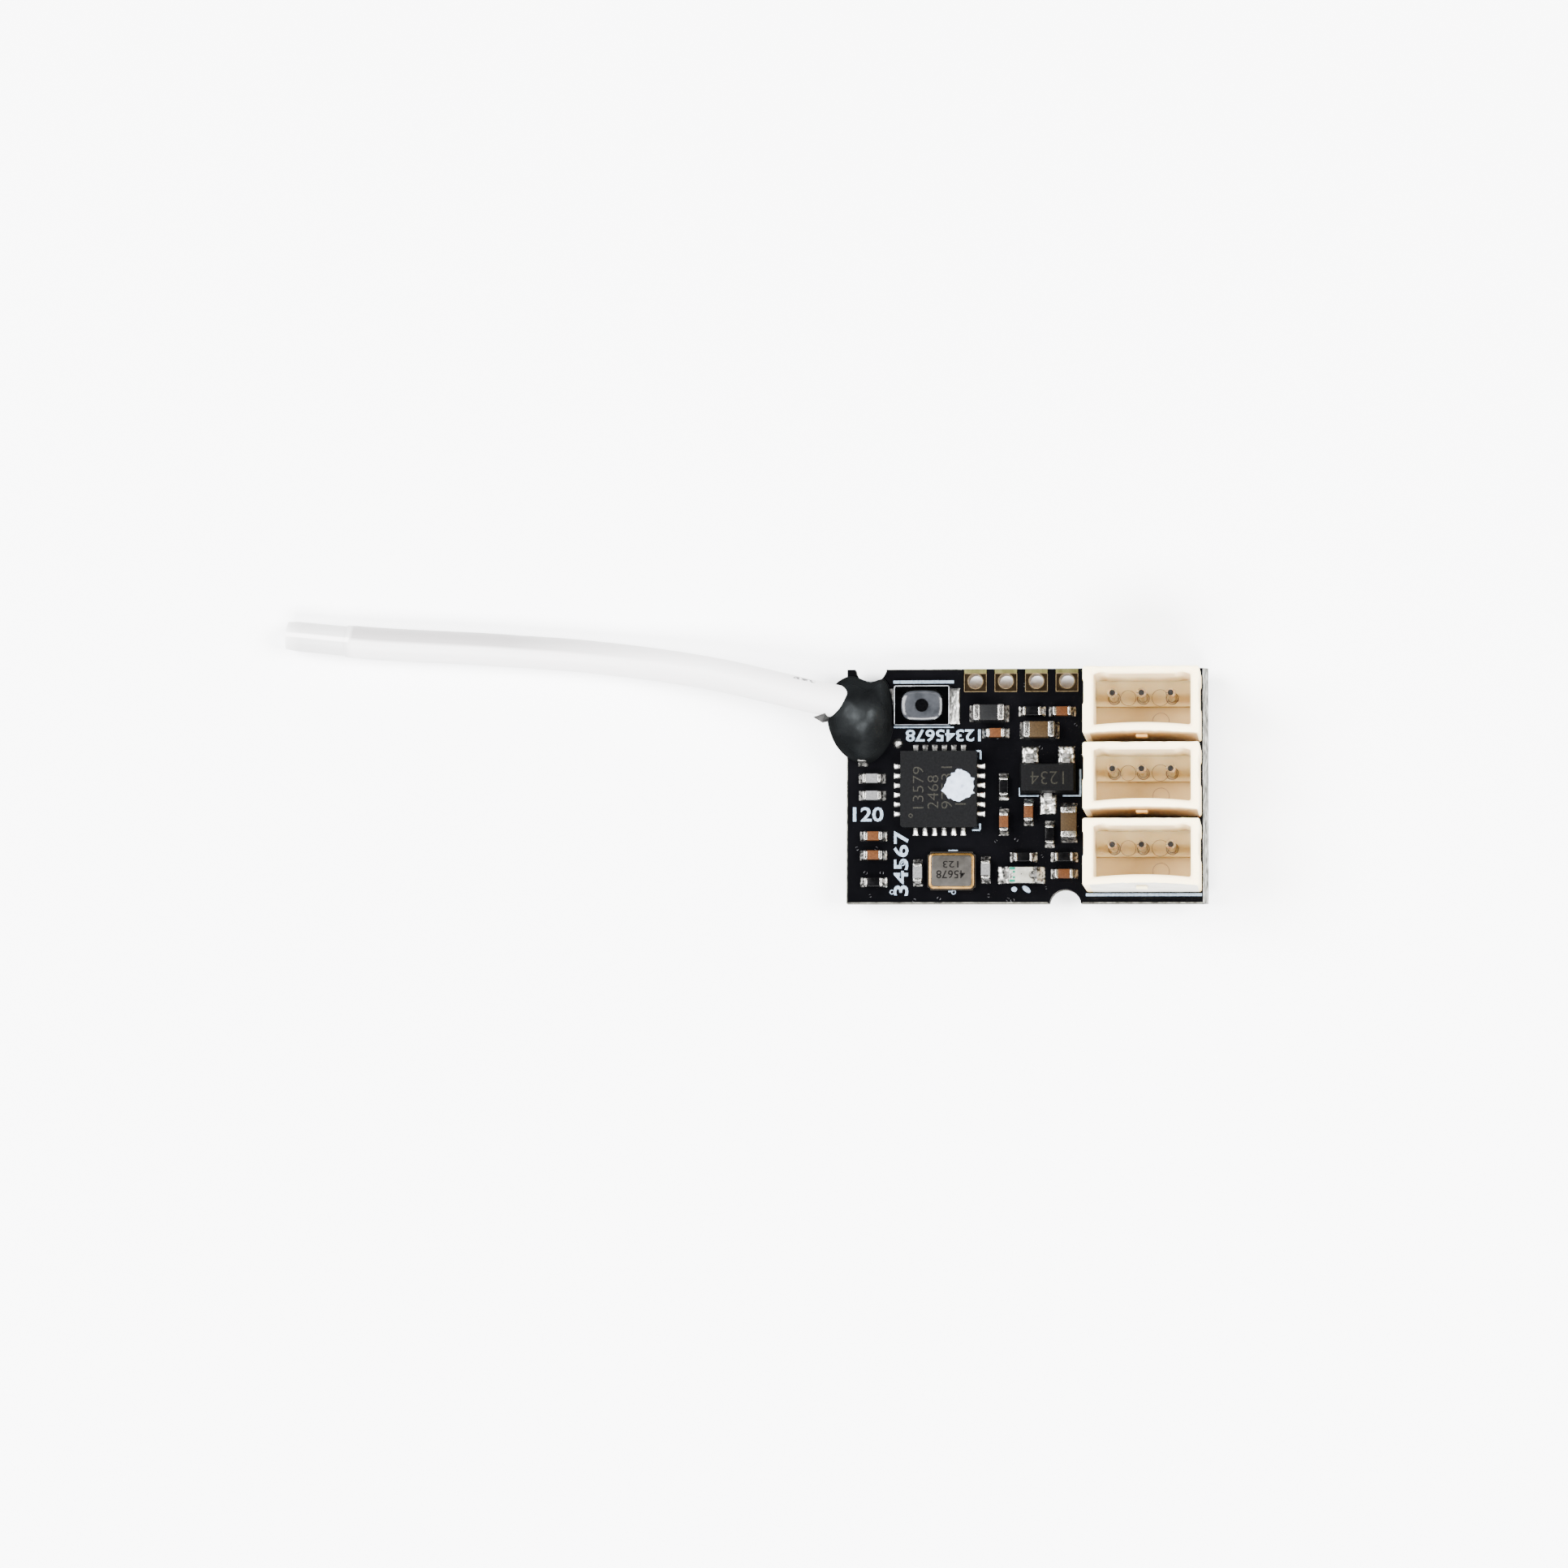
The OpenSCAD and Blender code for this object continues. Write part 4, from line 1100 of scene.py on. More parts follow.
# %% Header housings
FLOOR_UP, FLOOR_DOWN = TOP + 1.0, TOP + 0.6
RIM_ROUGH, SWAY = 0.08, 0.02
WALLS = (0.55, 0.45, 0.45, 0.41)
GATE_OUT, GATE, GATE_UP = 0.08, (0.6, 0.16, 0.9), 3.4
STEP_THICK, STEP_BELOW_PINS = 0.5, 0.42


def header(h):
    """One housing, from the box of its CAD node."""
    low, high = box(f"header_housing_{h}")
    low.y += GATE_OUT  # The gate mark stands on the lower wall
    pin_y = middle(f"header_pin_{h}_1").y
    whole = (low, high)
    top = high.z
    rings = []
    for z, inset, bow in (
        (TOP, 0.05, 0.0), (TOP + 0.05, 0.0, 0.0), (TOP + 1.6, 0.0, 0.02), (TOP + 3.2, 0.0, 0.06),
        (top - 0.25, 0.0, 0.12), (top - 0.06, 0.01, 0.13), (top - 0.015, 0.035, 0.13),
        (top, 0.07, 0.13),
    ):
        found = wall(*inside(whole, *[inset] * 4), 0.12, bow, 0.05, 0, pin_y)
        rings.append([Vector((q.x, q.y, z)) for q in found])
    for z, inset, bow in (
        (top, 0.17, 0.14), (top - 0.05, 0.09, 0.14), (top - 0.15, 0.0, 0.13),
        (TOP + 2.5, -0.01, 0.08), (FLOOR_DOWN + 0.05, 0.0, 0.02), (FLOOR_DOWN, 0.05, 0.02),
    ):
        found = wall(*inside(whole, *[w - inset for w in WALLS]), 0.1, bow, 0, 0.06, pin_y)
        rings.append([Vector((q.x, q.y, z)) for q in found])
    for i, ring_points in enumerate(rings[4:9], 4):
        for q in ring_points:
            rough = noise.noise(Vector((q.x * 3, q.y * 3, h * 7.0)))
            rough += 0.8 * noise.noise(Vector((q.x * 9, q.y * 9, h * 3.0)))
            q.z -= max(0.0, rough) * RIM_ROUGH if i in (6, 7, 8) else 0
            inwards = SWAY if q.y < (low.y + high.y) / 2 else -SWAY
            q.y += inwards * (0.5 + rough) if i < 8 else 0
    piece = Shape()
    piece.loft(rings, ivory_nylon)
    # Painted shade on the lower wall: dark amber where it looks into a narrow gap, and grey on the
    # lowest housing, away from the lamps
    piece.materials.append((amber_nylon if h < 3 else shaded_nylon).material)
    n = len(rings[0])
    for i in range(1, 5):
        for k in range(SIDE_STEPS - 1):
            piece.slots[i * n + k] = 1
    # The upper half of the socket's floor is a step, on which the pins stand
    x, split, step_top = (low.x + high.x) / 2, pin_y - STEP_BELOW_PINS, high.y - WALLS[3]
    piece.block(
        (high.x - low.x - 0.98, step_top - split + 0.06, STEP_THICK),
        (x + 0.05, (split + step_top) / 2 + 0.03, FLOOR_UP - STEP_THICK / 2),
        ivory_nylon,
        0.06,
    )
    # Gate marks in the gaps get the painted glow; the lowest one stays plain nylon
    gate = amber_glow if h < 3 else ivory_nylon
    piece.block(GATE, (x, low.y, TOP + GATE_UP), gate, 0.06)
    piece.make(f"housing_{h}", replaces=[f"header_housing_{h}"], smooth=35)


for h in range(1, 4):
    header(h)
print("three housings, floors at", round(FLOOR_DOWN, 2), "and", round(FLOOR_UP, 2), "mm")

# %% [markdown]
# The pins that push a moulding out of its mould leave round marks on the sockets' floors,
# and each contact stands in a low collar. All are ridges round a circle. A bump map could
# draw them, but a real ridge catches the light from every side.

# %% Ejector marks and pin collars
mould_line = Paint("mould_line", Roughness=0.5)
mould_line.speckle(0.3, (0.16, 0.10, 0.045), (0.26, 0.18, 0.09))
mould_line.relief(0.1, 0.004)
marks = Shape()
for h in range(1, 4):
    low, high = box(f"header_housing_{h}")
    first, last = middle(f"header_pin_{h}_1"), middle(f"header_pin_{h}_3")
    spots = [
        (last.x - 0.6, first.y - 1.15, FLOOR_DOWN, 0.43, 0.03, 0.014),
        (last.x - 0.62, first.y + 0.03, FLOOR_UP, 0.43, 0.03, 0.014),
        (first.x + 0.72, first.y + 0.03, FLOOR_UP, 0.40, 0.03, 0.012),
    ]
    pins = [middle(f"header_pin_{h}_{p}") for p in range(1, 4)]
    spots += [(pin.x, pin.y, FLOOR_UP, 0.31, 0.05, 0.03) for pin in pins]
    for x, y, z, radius, wide, high in spots:
        marks.loft(ridge(radius, wide, high, crest=0.5, sides=40), mould_line, at(x, y, z))
marks.make("mould_marks")
print("ridges in the sockets:", len(marks.faces), "faces")

# %% [markdown]
# ## Chips
# Moulded packages with a fine matt grain, and three kinds of solder: smooth on the pins and
# the button, bright at the radio chip, and dull with dark folds beside the small parts. One
# metal could serve them all, but they cool at different speeds and it shows in the grain.

# %% Chip materials
moulding = Paint("moulding", Roughness=0.55, Specular_IOR_Level=0.03)
moulding.soften(0.03)
moulding.speckle(0.12, (0.0011, 0.00115, 0.0013), (0.0022, 0.0023, 0.0026), detail=5)
moulding.roughness(0.3, 0.45, 0.62, detail=4)
moulding.relief(0.05, 0.006, detail=4)

laser_grey = Paint("laser_grey", Roughness=0.7, Specular_IOR_Level=0.03)
laser_grey.speckle(
    0.06, (0.007, 0.0068, 0.0055), (0.018, 0.0175, 0.0145), detail=4, span=(0.35, 0.65)
)
laser_grey.relief(0.03, 0.002)

solder = Paint("solder", Metallic=1.0, Roughness=0.22)
solder.speckle(0.3, (0.12, 0.12, 0.115), (0.27, 0.265, 0.255), detail=5)
solder.roughness(0.08, 0.22, 0.42, detail=5)
solder.relief(0.14, 0.035, detail=4)
solder.bump(solder.cells(0.06), 0.004)

joint_bright = Paint("joint_bright", Metallic=1.0, Roughness=0.25)
joint_bright.speckle(0.18, (0.09, 0.09, 0.087), (0.34, 0.335, 0.325), detail=3, span=(0.35, 0.6))
joint_bright.roughness(0.1, 0.24, 0.42, detail=3)
joint_bright.relief(0.22, 0.022, detail=2)

dull_solder = Paint("dull_solder", Metallic=1.0, Roughness=0.5)
dull_solder.speckle(0.16, (0.035, 0.035, 0.033), (0.48, 0.47, 0.45), detail=4, span=(0.4, 0.6))
dull_solder.roughness(0.1, 0.26, 0.5, detail=4)
dull_solder.relief(0.16, 0.035, detail=3)
dress("radio_chip", moulding)
dress("controller_chip", moulding)
dress("regulator_body", moulding)
dress("regulator_leads", joint_bright)
dress("header_solder", solder)
dress("controller_chip_joints", solder)
print("chip and solder materials on six CAD nodes")

# %% [markdown]
# A fillet of solder leans on a wall and runs out on its pad. Its height is a short formula
# of two shares, so every fillet on the board can come from one function. Sculpting would
# give more life, but nothing that shows at this size.

# %% One fillet


def fillet(reach, wide, rise, flare=0.0):
    """Skin of one solder fillet that leans on a wall at x = 0."""

    def surface(u, v):
        side = 2 * u - 1
        round_off = 1 - 0.5 * abs(side) ** 5
        x = v * reach * (1 - 0.06 * side**4)
        taper = 1 + flare * (v - 0.6)
        lift = rise * (1 - v) ** 1.9 * round_off + 0.045 * (1 - v**8) * round_off
        return (x, side * wide / 2 * taper, 0.012 + lift)

    return surface


one = Shape()
one.mound(8, 10, fillet(reach=0.41, wide=0.27, rise=0.16, flare=0.2), joint_bright)
master = one.make("fillet_master", smooth=60)
print("one fillet:", len(one.faces), "faces")

# %% [markdown]
# The radio chip's connections end in such fillets, at an even pitch along four sides. A
# Geometry Nodes tree sets one out along a line, and the line about the chip's middle. A
# Python loop could copy it as well, but the tree shows the pattern as named numbers.

# %% Fillets round the radio chip, by Geometry Nodes
JOINT_PITCH, JOINTS_A_SIDE = 0.5, 6
sides_tree = bpy.data.node_groups.new("four_sides", "GeometryNodeTree")
tree_socket(sides_tree, "Geometry", "NodeSocketGeometry")
SIDES = {
    "side": tree_socket(sides_tree, "Half side", "NodeSocketFloat"),
    "pitch": tree_socket(sides_tree, "Pitch", "NodeSocketFloat"),
    "count": tree_socket(sides_tree, "Count", "NodeSocketInt"),
    "paint": tree_socket(sides_tree, "Material", "NodeSocketMaterial"),
}
tree_socket(sides_tree, "Geometry", "NodeSocketGeometry", "OUTPUT")
t = Tree(sides_tree)
count, pitch = t.input.outputs["Count"], t.input.outputs["Pitch"]
less = t.add("ShaderNodeMath", {0: count, 1: 1.0}, operation="SUBTRACT").outputs[0]
run = t.add("ShaderNodeMath", {0: less, 1: pitch}, operation="MULTIPLY").outputs[0]
start = t.add("ShaderNodeMath", {0: run, 1: -0.5}, operation="MULTIPLY").outputs[0]
origin = t.add("ShaderNodeCombineXYZ", {0: t.input.outputs["Half side"], 1: start}).outputs[0]
step = t.add("ShaderNodeCombineXYZ", {1: pitch}).outputs[0]
line = t.add("GeometryNodeMeshLine", {"Count": count, "Start Location": origin, "Offset": step})
placed = t.add(
    "GeometryNodeInstanceOnPoints", {"Points": line.outputs[0], "Instance": t.input.outputs[0]}
)
quarters = t.add("GeometryNodeMeshLine", {"Count": 4, "Offset": (0, 0, 0)})
index = t.add("GeometryNodeInputIndex").outputs[0]
angle = t.add("ShaderNodeMath", {0: index, 1: math.pi / 2}, operation="MULTIPLY").outputs[0]
turn = t.add("ShaderNodeCombineXYZ", {2: angle}).outputs[0]
around = t.add(
    "GeometryNodeInstanceOnPoints",
    {"Points": quarters.outputs[0], "Instance": placed.outputs[0], "Rotation": turn},
)
real = t.add("GeometryNodeRealizeInstances", {0: around.outputs[0]})
painted = t.add(
    "GeometryNodeSetMaterial", {0: real.outputs[0], "Material": t.input.outputs["Material"]}
)
t.finish(painted.outputs[0])
radio_low, radio_high = box("radio_chip")
radio = (radio_low + radio_high) / 2
joints = grow(
    master,
    sides_tree,
    {
        SIDES["side"]: (radio_high.x - radio_low.x) / 2 * MM,
        SIDES["pitch"]: JOINT_PITCH * MM,
        SIDES["count"]: JOINTS_A_SIDE,
        SIDES["paint"]: joint_bright.material,
    },
    "radio_fillets",
    Vector((radio.x, radio.y, TOP)),
)
bpy.data.objects.remove(master)
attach(joints, "receiver")
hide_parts("radio_chip_joints")
print("radio chip fillets:", len(joints.data.polygons), "faces")

# %% [markdown]
# A laser leaves pale marks of almost no height on the moulding, so these digits are thinner
# and finer than the board's print. The regulator's three legs stand in pillows of solder
# that noise has hammered, where a plain block would look machined.

# %% Laser marks and the regulator's pads
LASER = {"paint": laser_grey, "bold": -0.012, "thick": 0.004}
marks = Shape()
for digits, x0, y0, x1, y1 in (
    ("13579", -5.92, -1.24, -5.36, 0.95), ("2468", -5.15, -1.26, -4.58, 0.49),
    ("97531", -4.43, -1.26, -3.86, 0.95), ("1", -3.70, -1.05, -3.14, -0.98),
):
    lettering(marks, digits, x0, y0, x1, y1, radio_high.z, turn=90, **LASER)
spot_ring(marks, -6.03, -1.62, 0.09, 0.05, laser_grey, LASER["thick"], radio_high.z)
marks.make("radio_marks", smooth=0)
body_low, body_high = box("regulator_body")
marks = Shape()
lettering(marks, "1234", 0.24, -0.02, 1.98, 0.66, body_high.z, turn=180, **LASER)
marks.make("regulator_marks", smooth=0)


def heap(wide, deep, high, seed):
    """A pillow of solder on a square pad, hammered by noise."""

    def surface(u, v):
        a, b = 2 * u - 1, 2 * v - 1
        edge = (1 - a**8) * (1 - b**8)
        lump = 0.5 + 0.5 * noise.noise(Vector((u * 8 + seed, v * 6, seed)))
        return (a * wide / 2, b * deep / 2, 0.01 + high * (0.3 + 0.7 * lump) * edge)

    return surface


LEG_APART, PAD_WIDE, PAD_HIGH = 0.95, 0.88, 0.13
FOOT, FOOT_IN = Vector((0.36, 0.34, 0.2)), 0.16
feet = Shape()
body_x = (body_low.x + body_high.x) / 2
above, below = (body_high.y + 0.02, 2.06), (-1.5, body_low.y - 0.02)
for x, (y0, y1) in ((body_x - LEG_APART, above), (body_x + LEG_APART, above), (body_x, below)):
    place = at(x, (y0 + y1) / 2, TOP)
    feet.mound(20, 20, heap(PAD_WIDE, y1 - y0, PAD_HIGH, x), dull_solder, place)
    near = y1 - FOOT_IN if y0 < body_low.y else y0 + FOOT_IN
    feet.block(FOOT, (x, near, TOP + FOOT.z / 2), joint_bright, 0.05)
feet.make("regulator_solder", smooth=60)
print("laser marks and regulator pads added")

# %% [markdown]
# ## Chip capacitors, resistors and their solder
# Each small part is a ceramic body between two plated ends, and stands in two concave
# fillets of solder. One function builds them all from the CAD node's own box. Copies of a
# single part would be lighter, but no two kinds here have the same size.

# %% Small parts


def ceramic(name, dark, light, grain=0.08, shine=(0.35, 0.55)):
    """A fired, dense material with fine specks."""
    paint = Paint(name, Roughness=0.45, Specular_IOR_Level=0.06)
    paint.speckle(grain, dark, light, detail=5)
    paint.roughness(0.2, *shine)
    paint.relief(0.05, 0.004, detail=3)
    return paint


brown_ceramic = ceramic("brown_ceramic", (0.026, 0.0085, 0.0024), (0.05, 0.018, 0.0055))
tan_ceramic = ceramic("tan_ceramic", (0.014, 0.0080, 0.0030), (0.028, 0.0170, 0.0068))
grey_ceramic = ceramic("grey_ceramic", (0.055, 0.055, 0.055), (0.095, 0.095, 0.097))
black_glaze = ceramic(
    "black_glaze", (0.0006, 0.0006, 0.0007), (0.0016, 0.0016, 0.0018), 0.2, (0.15, 0.3)
)
ferrite = ceramic("ferrite", (0.002, 0.0021, 0.0023), (0.004, 0.0042, 0.0046))

plated_end = Paint("plated_end", Metallic=1.0, Roughness=0.3)
plated_end.speckle(0.14, (0.07, 0.068, 0.064), (0.24, 0.235, 0.225), detail=5, span=(0.35, 0.65))
plated_end.roughness(0.1, 0.16, 0.36, detail=4)
plated_end.relief(0.14, 0.03, detail=4)


def chip_part(node, body, glazed=False):
    """A part with plated ends, from its CAD node's box. Returns its sizes and its place."""
    low, high = box(node)
    size, centre = high - low, (low + high) / 2
    turn = 0 if size.x > size.y else 90
    run, wide, tall = max(size.x, size.y), min(size.x, size.y), size.z
    place = at(centre.x, centre.y, centre.z, turn)
    part = Shape()
    end = (0.2 if glazed else 0.23) * run
    part.block((run - end, wide - 0.03, tall - 0.04), (0, 0, -0.01), body, 0.03, place)
    for s in (-1, 1):
        part.block(
            (end, wide, tall), (s * (run - end) / 2, 0, 0), plated_end, 0.085, place, segments=4
        )
    part.make(node + "_part", replaces=[node])
    return run, wide, tall, centre, turn


KINDS = {
    "resistor_": (range(1, 7), black_glaze, "resistor_black", True),
    "power_capacitor_": (range(1, 3), tan_ceramic, "capacitor_brown", False),
    "back_capacitor_": (range(1, 3), brown_ceramic, "capacitor_brown", False),
}
parts = []
for stem, (numbers, body, slot, glazed) in KINDS.items():
    parts += [chip_part(stem + str(i), body, glazed) for i in numbers]
for i in range(1, 12):
    grey = i in (6, 7, 8, 9)
    body, slot = (grey_ceramic, "capacitor_grey") if grey else (brown_ceramic, "capacitor_brown")
    parts.append(chip_part(f"capacitor_{i}", body))
parts.append(chip_part("supply_bead", ferrite))
parts.append(chip_part("antenna_coil", grey_ceramic))
print("small parts:", len(parts))

# %% [markdown]
# Molten solder climbs a plated end and spreads on its pad, which makes a concave fillet.
# A bevel would fill the corner with a straight slope, so each is a small closed mound that
# leans on the part, in one piece with all the others. Those under the board are turned
# upside down by the same matrix.

# %% Solder under the small parts
fillets = Shape()
for run, wide, tall, centre, turn in parts:
    above = centre.z > TOP
    flip = Matrix() if above else Matrix.Rotation(math.pi, 4, "X")
    z = TOP if above else BOARD_LOW.z
    for s in (0, 180):
        place = at(centre.x, centre.y, z, turn + s) @ flip @ Matrix.Translation((run / 2, 0, 0))
        fillets.mound(8, 8, fillet(0.22, wide, 0.5 * tall), dull_solder, place)


def dome(radius, high, wobble):
    """Skin of a round drop with an uneven edge."""

    def surface(u, v):
        a, b = 2 * u - 1, 2 * v - 1
        x, y = a * math.sqrt(1 - b * b / 2), b * math.sqrt(1 - a * a / 2)
        r = min(math.hypot(x, y), 1.0)
        bend = 1 + wobble * noise.noise(Vector((3 * x, 3 * y, high)))
        return (radius * x * bend, radius * y * bend, high * (1 - r**2.4) + 0.004)

    return surface


# One round dot of solder, for a test probe, stands by the radio chip
fillets.mound(10, 10, dome(0.26, 0.16, 0.3), solder, at(LEFT + 2.65, 2.26, TOP))
fillets.make("part_fillets", replaces=["chip_solder"], smooth=60)
print("solder fillets:", 2 * len(parts) + 1)

# %% [markdown]
# ## Crystal
# A ceramic base, a gilt ring that seals it and a nickel lid. The ring and the lid are lofted
# plates with round corners and soft edges, in the place of the CAD ones. A Bevel modifier
# would give soft edges too, but a loft sets each height and step by number.

# %% Crystal
crystal_dark = ceramic("crystal_dark", (0.004, 0.003, 0.002), (0.01, 0.008, 0.006))
lid_metal = Paint("lid_metal", Metallic=0.2, Roughness=0.4, Specular_IOR_Level=0.1)
lid_metal.speckle(0.4, (0.014, 0.0128, 0.0112), (0.024, 0.022, 0.0195), detail=5)
lid_metal.roughness(0.08, 0.34, 0.5, detail=4)
lid_metal.relief(0.04, 0.003, detail=3)
dress("crystal_base", crystal_dark)
ring_gold = Paint("ring_gold", Metallic=1.0, Roughness=0.25)
ring_gold.speckle(0.5, (0.10, 0.052, 0.012), (0.19, 0.105, 0.03), detail=3)
ring_gold.roughness(0.2, 0.22, 0.36, detail=3)
ring_gold.relief(0.3, 0.006, detail=3)
for node, paint, corner, slot in (
    ("crystal_ring", ring_gold, 0.26, "crystal_gold"),
    ("crystal_lid", lid_metal, 0.17, "crystal_lid"),
):
    low, high = box(node)
    plate = Shape()
    plate.loft(
        [rounded(low, high, corner, inset, z) for inset, z in (
            (0.0, low.z), (0.0, high.z - 0.045), (0.012, high.z - 0.015), (0.045, high.z),
        )],
        paint,
    )
    plate.make(node + "_plate", replaces=[node], smooth=50)
lid_ink = Paint("lid_ink", Roughness=0.6, Specular_IOR_Level=0.02)
lid_ink.speckle(
    0.06, (0.0012, 0.0011, 0.001), (0.003, 0.0028, 0.0026), detail=4, span=(0.35, 0.65)
)
lid_ink.relief(0.03, 0.002)
lid_top = box("crystal_lid")[1].z
marks = Shape()
for digits, x0, y0, x1, y1 in (
    ("123", -4.36, -4.32, -3.54, -3.97), ("45678", -4.70, -4.88, -3.20, -4.46),
):
    lettering(marks, digits, x0, y0, x1, y1, lid_top, lid_ink, 180, 0.004, 0.004)
marks.make("crystal_marks", smooth=0)
print("crystal: two plates and two lines of marks")

# %% [markdown]
# ## Button
# A black case under a thin steel cover, which is dark on top because it mirrors the room
# above, and bright at its bent edge. A new mesh could have softer edges. Here a rule paints
# top and edge of the CAD cover, which keeps its window just as it was modelled. The top gets
# a near-black metal, a painted dark reflection of the room; the edge is plain steel.

# %% Button materials and cover
steel = Paint("steel", Metallic=1.0, Roughness=0.2)
steel.soften(0.06)
steel.speckle(0.5, (0.20, 0.21, 0.23), (0.32, 0.33, 0.35), detail=3)
steel.roughness(0.1, 0.07, 0.14, detail=4)
steel.relief(0.3, 0.003, stretch=(0.2, 1, 1))
case_black = Paint("case_black", Roughness=0.4, Specular_IOR_Level=0.15)
case_black.speckle(0.2, (0.001, 0.001, 0.0012), (0.003, 0.003, 0.0033), detail=3)
case_black.relief(0.06, 0.004)
film_grey = Paint("film_grey", Roughness=0.14, Specular_IOR_Level=0.22)
film_grey.speckle(0.6, (0.010, 0.0108, 0.0125), (0.024, 0.0255, 0.029), detail=3)
film_grey.relief(0.5, 0.01, detail=2)
stem_black = Paint("stem_black", Roughness=0.5, Specular_IOR_Level=0.0)
stem_black.speckle(0.1, (0.0005, 0.0005, 0.0006), (0.0012, 0.0012, 0.0014))
stem_black.relief(0.04, 0.003)
dress("switch_base", case_black)
# Painted reflection: the cover's top is painted near black, as steel looks that mirrors a dark
# room
cover_black = Paint("cover_black", Metallic=1.0, Roughness=0.16)
cover_black.speckle(0.5, (0.006, 0.0063, 0.007), (0.012, 0.0125, 0.014), detail=3)
cover_black.roughness(0.1, 0.12, 0.2, detail=4)
cover_black.relief(0.3, 0.003, stretch=(0.2, 1, 1))
cover_low, cover_high = box("switch_cover")


def cover_side(centre, normal):
    """1 at the cover's outer walls and 0 on its top."""
    inner = cover_low.x + 0.03 < centre.x < cover_high.x - 0.03
    return int(not inner or not cover_low.y + 0.03 < centre.y < cover_high.y - 0.03)


dress("switch_cover", cover_black, steel, choose=cover_side)
dress("switch_dome", steel)
print("cover", round(cover_high.x - cover_low.x, 2), "mm long")

# %% [markdown]
# In the cover's window sits the film, the one piece that moves, with its black stem. A disc
# would leave gaps in the window's corners, so it is a loft of the window's own outline, and
# a shallow dome makes it shine in a ring. The cover's bent edge glints all round.

# %% Film and cover rim
film_low, film_high = box("switch_button")
film_at = (film_low + film_high) / 2


def window(share, z, cut=0.4):
    """The film's eight-sided outline with rounded corners, scaled about its middle."""
    far, deep = (film_high.x - film_low.x) / 2, (film_high.y - film_low.y) / 2
    corners = [(far, cut - deep), (far, deep - cut), (far - cut, deep), (cut - far, deep)]
    corners += [(-x, -y) for x, y in corners]
    soft = smooth_loop([(x * 0.99, y * 0.99, 0) for x, y in corners], 6)
    size = max(abs(p.x) for p in soft) / far, max(abs(p.y) for p in soft) / deep
    return [(share * p.x / size[0], share * p.y / size[1], z) for p in soft]


film_top = film_high.z - 0.15
film = Shape()
place = at(film_at.x, film_at.y, 0)
film.loft(
    [window(s, z) for s, z in [
        (1.0, film_low.z), (1.0, film_top - 0.02), (0.93, film_top + 0.01), (0.8, film_top + 0.05),
        (0.6, film_top + 0.04), (0.46, film_top + 0.035), (0.38, film_top + 0.05),
        (0.05, film_top + 0.06),
    ]],
    film_grey,
    place,
)
stem = [(0.34, 0.0), (0.34, 0.12), (0.31, 0.145), (0.05, 0.149)]
film.loft([circle(r, 32, film_top + z) for r, z in stem], stem_black, place)
film.make("button_film", body="bind_button", replaces=["switch_button"])

bright_steel = Paint("bright_steel", Metallic=1.0, Roughness=0.4)
bright_steel.speckle(0.5, (0.08, 0.083, 0.088), (0.17, 0.175, 0.185), detail=3)
bright_steel.relief(0.2, 0.002, detail=2)
edge_line = Shape()
profile = [(0.052, -0.004), (0.0, -0.004), (0.008, 0.012), (0.026, 0.02), (0.045, 0.012)]
profile.append(profile[0])
edge_line.loft(
    [rounded(cover_low, cover_high, 0.12, 0.006 + a, cover_high.z + z) for a, z in profile],
    bright_steel,
    cap=False,
)
edge_line.make("cover_rim")
print("film", round(film_high.z - film_low.z, 2), "mm high")

# %% [markdown]
# Two lugs hold the button to the board. A block with a bump map would keep a straight
# outline, so each is a lumpy mound that is full at the case and falls off at its outer end.

# %% Lugs
lugs = Shape()
low, high = box("switch_lugs")
case_low, case_high = box("switch_base")


def lug_skin(reach, wide, tall):
    """Skin of a lug that is full at the case and falls off at its outer end."""

    def surface(u, v):
        side = 2 * u - 1
        lump = 0.035 * noise.noise(Vector((u * 9, v * 5, reach)))
        z = tall * (0.75 + 0.25 * (1 - v)) * (1 - 0.5 * abs(side) ** 8) * (1 - 0.6 * v**8)
        return (v * reach, side * wide / 2, max(z + lump - 0.02, 0.02))

    return surface


for side, turn, reach in (
    (case_high.x, 0, high.x - case_high.x),
    (case_low.x, 180, case_low.x - low.x),
):
    place = at(side, (low.y + high.y) / 2, TOP, turn)
    lugs.mound(24, 10, lug_skin(reach, high.y - low.y, high.z - TOP), solder, place)
lugs.make("lug_solder", replaces=["switch_lugs"], smooth=60)
print("lugs:", len(lugs.faces), "faces")

# %% [markdown]
# ## Status light
# A flat base with a half-round bite in each plated end, under a milky block that scatters
# light inside. Green ink marks one end. The bites could be cut by a boolean, but here the
# outline goes round them, which keeps the mesh clean.

# %% Status light
milky = Paint(
    "milky",
    Roughness=0.25,
    Specular_IOR_Level=0.1,
    Subsurface_Weight=0.5,
    Subsurface_Radius=(0.5, 0.5, 0.5),
)
milky.shader.inputs["Subsurface Scale"].default_value = 0.3 * MM
milky.speckle(0.4, (0.17, 0.17, 0.145), (0.27, 0.27, 0.235), detail=4)
milky.relief(0.2, 0.004)
teal_ink = Paint("teal_ink", Roughness=0.5, Specular_IOR_Level=0.03)
teal_ink.speckle(0.1, (0.0, 0.06, 0.036), (0.0, 0.11, 0.07))
teal_ink.relief(0.05, 0.002)
low, high = box("status_led")
centre, size = (low + high) / 2, high - low
place = at(centre.x, centre.y, low.z)
LEDGE, BITE_DEEP, BITE_HALF = 0.2, 0.19, 0.22
light = Shape()


def bitten(z, wide, deep):
    """Outline of the light with a half-round bite in the middle of each end."""
    found = []
    for s in (1, -1):
        x, y = s * wide * size.x / 2, s * deep * size.y / 2
        bite = [math.radians(-90 + 18 * k) for k in range(11)]
        found += [(x, -y, z)]
        found += [
            (x - s * BITE_DEEP * math.cos(a), s * BITE_HALF * math.sin(a), z) for a in bite
        ]
        found += [(x, y, z)]
    return found


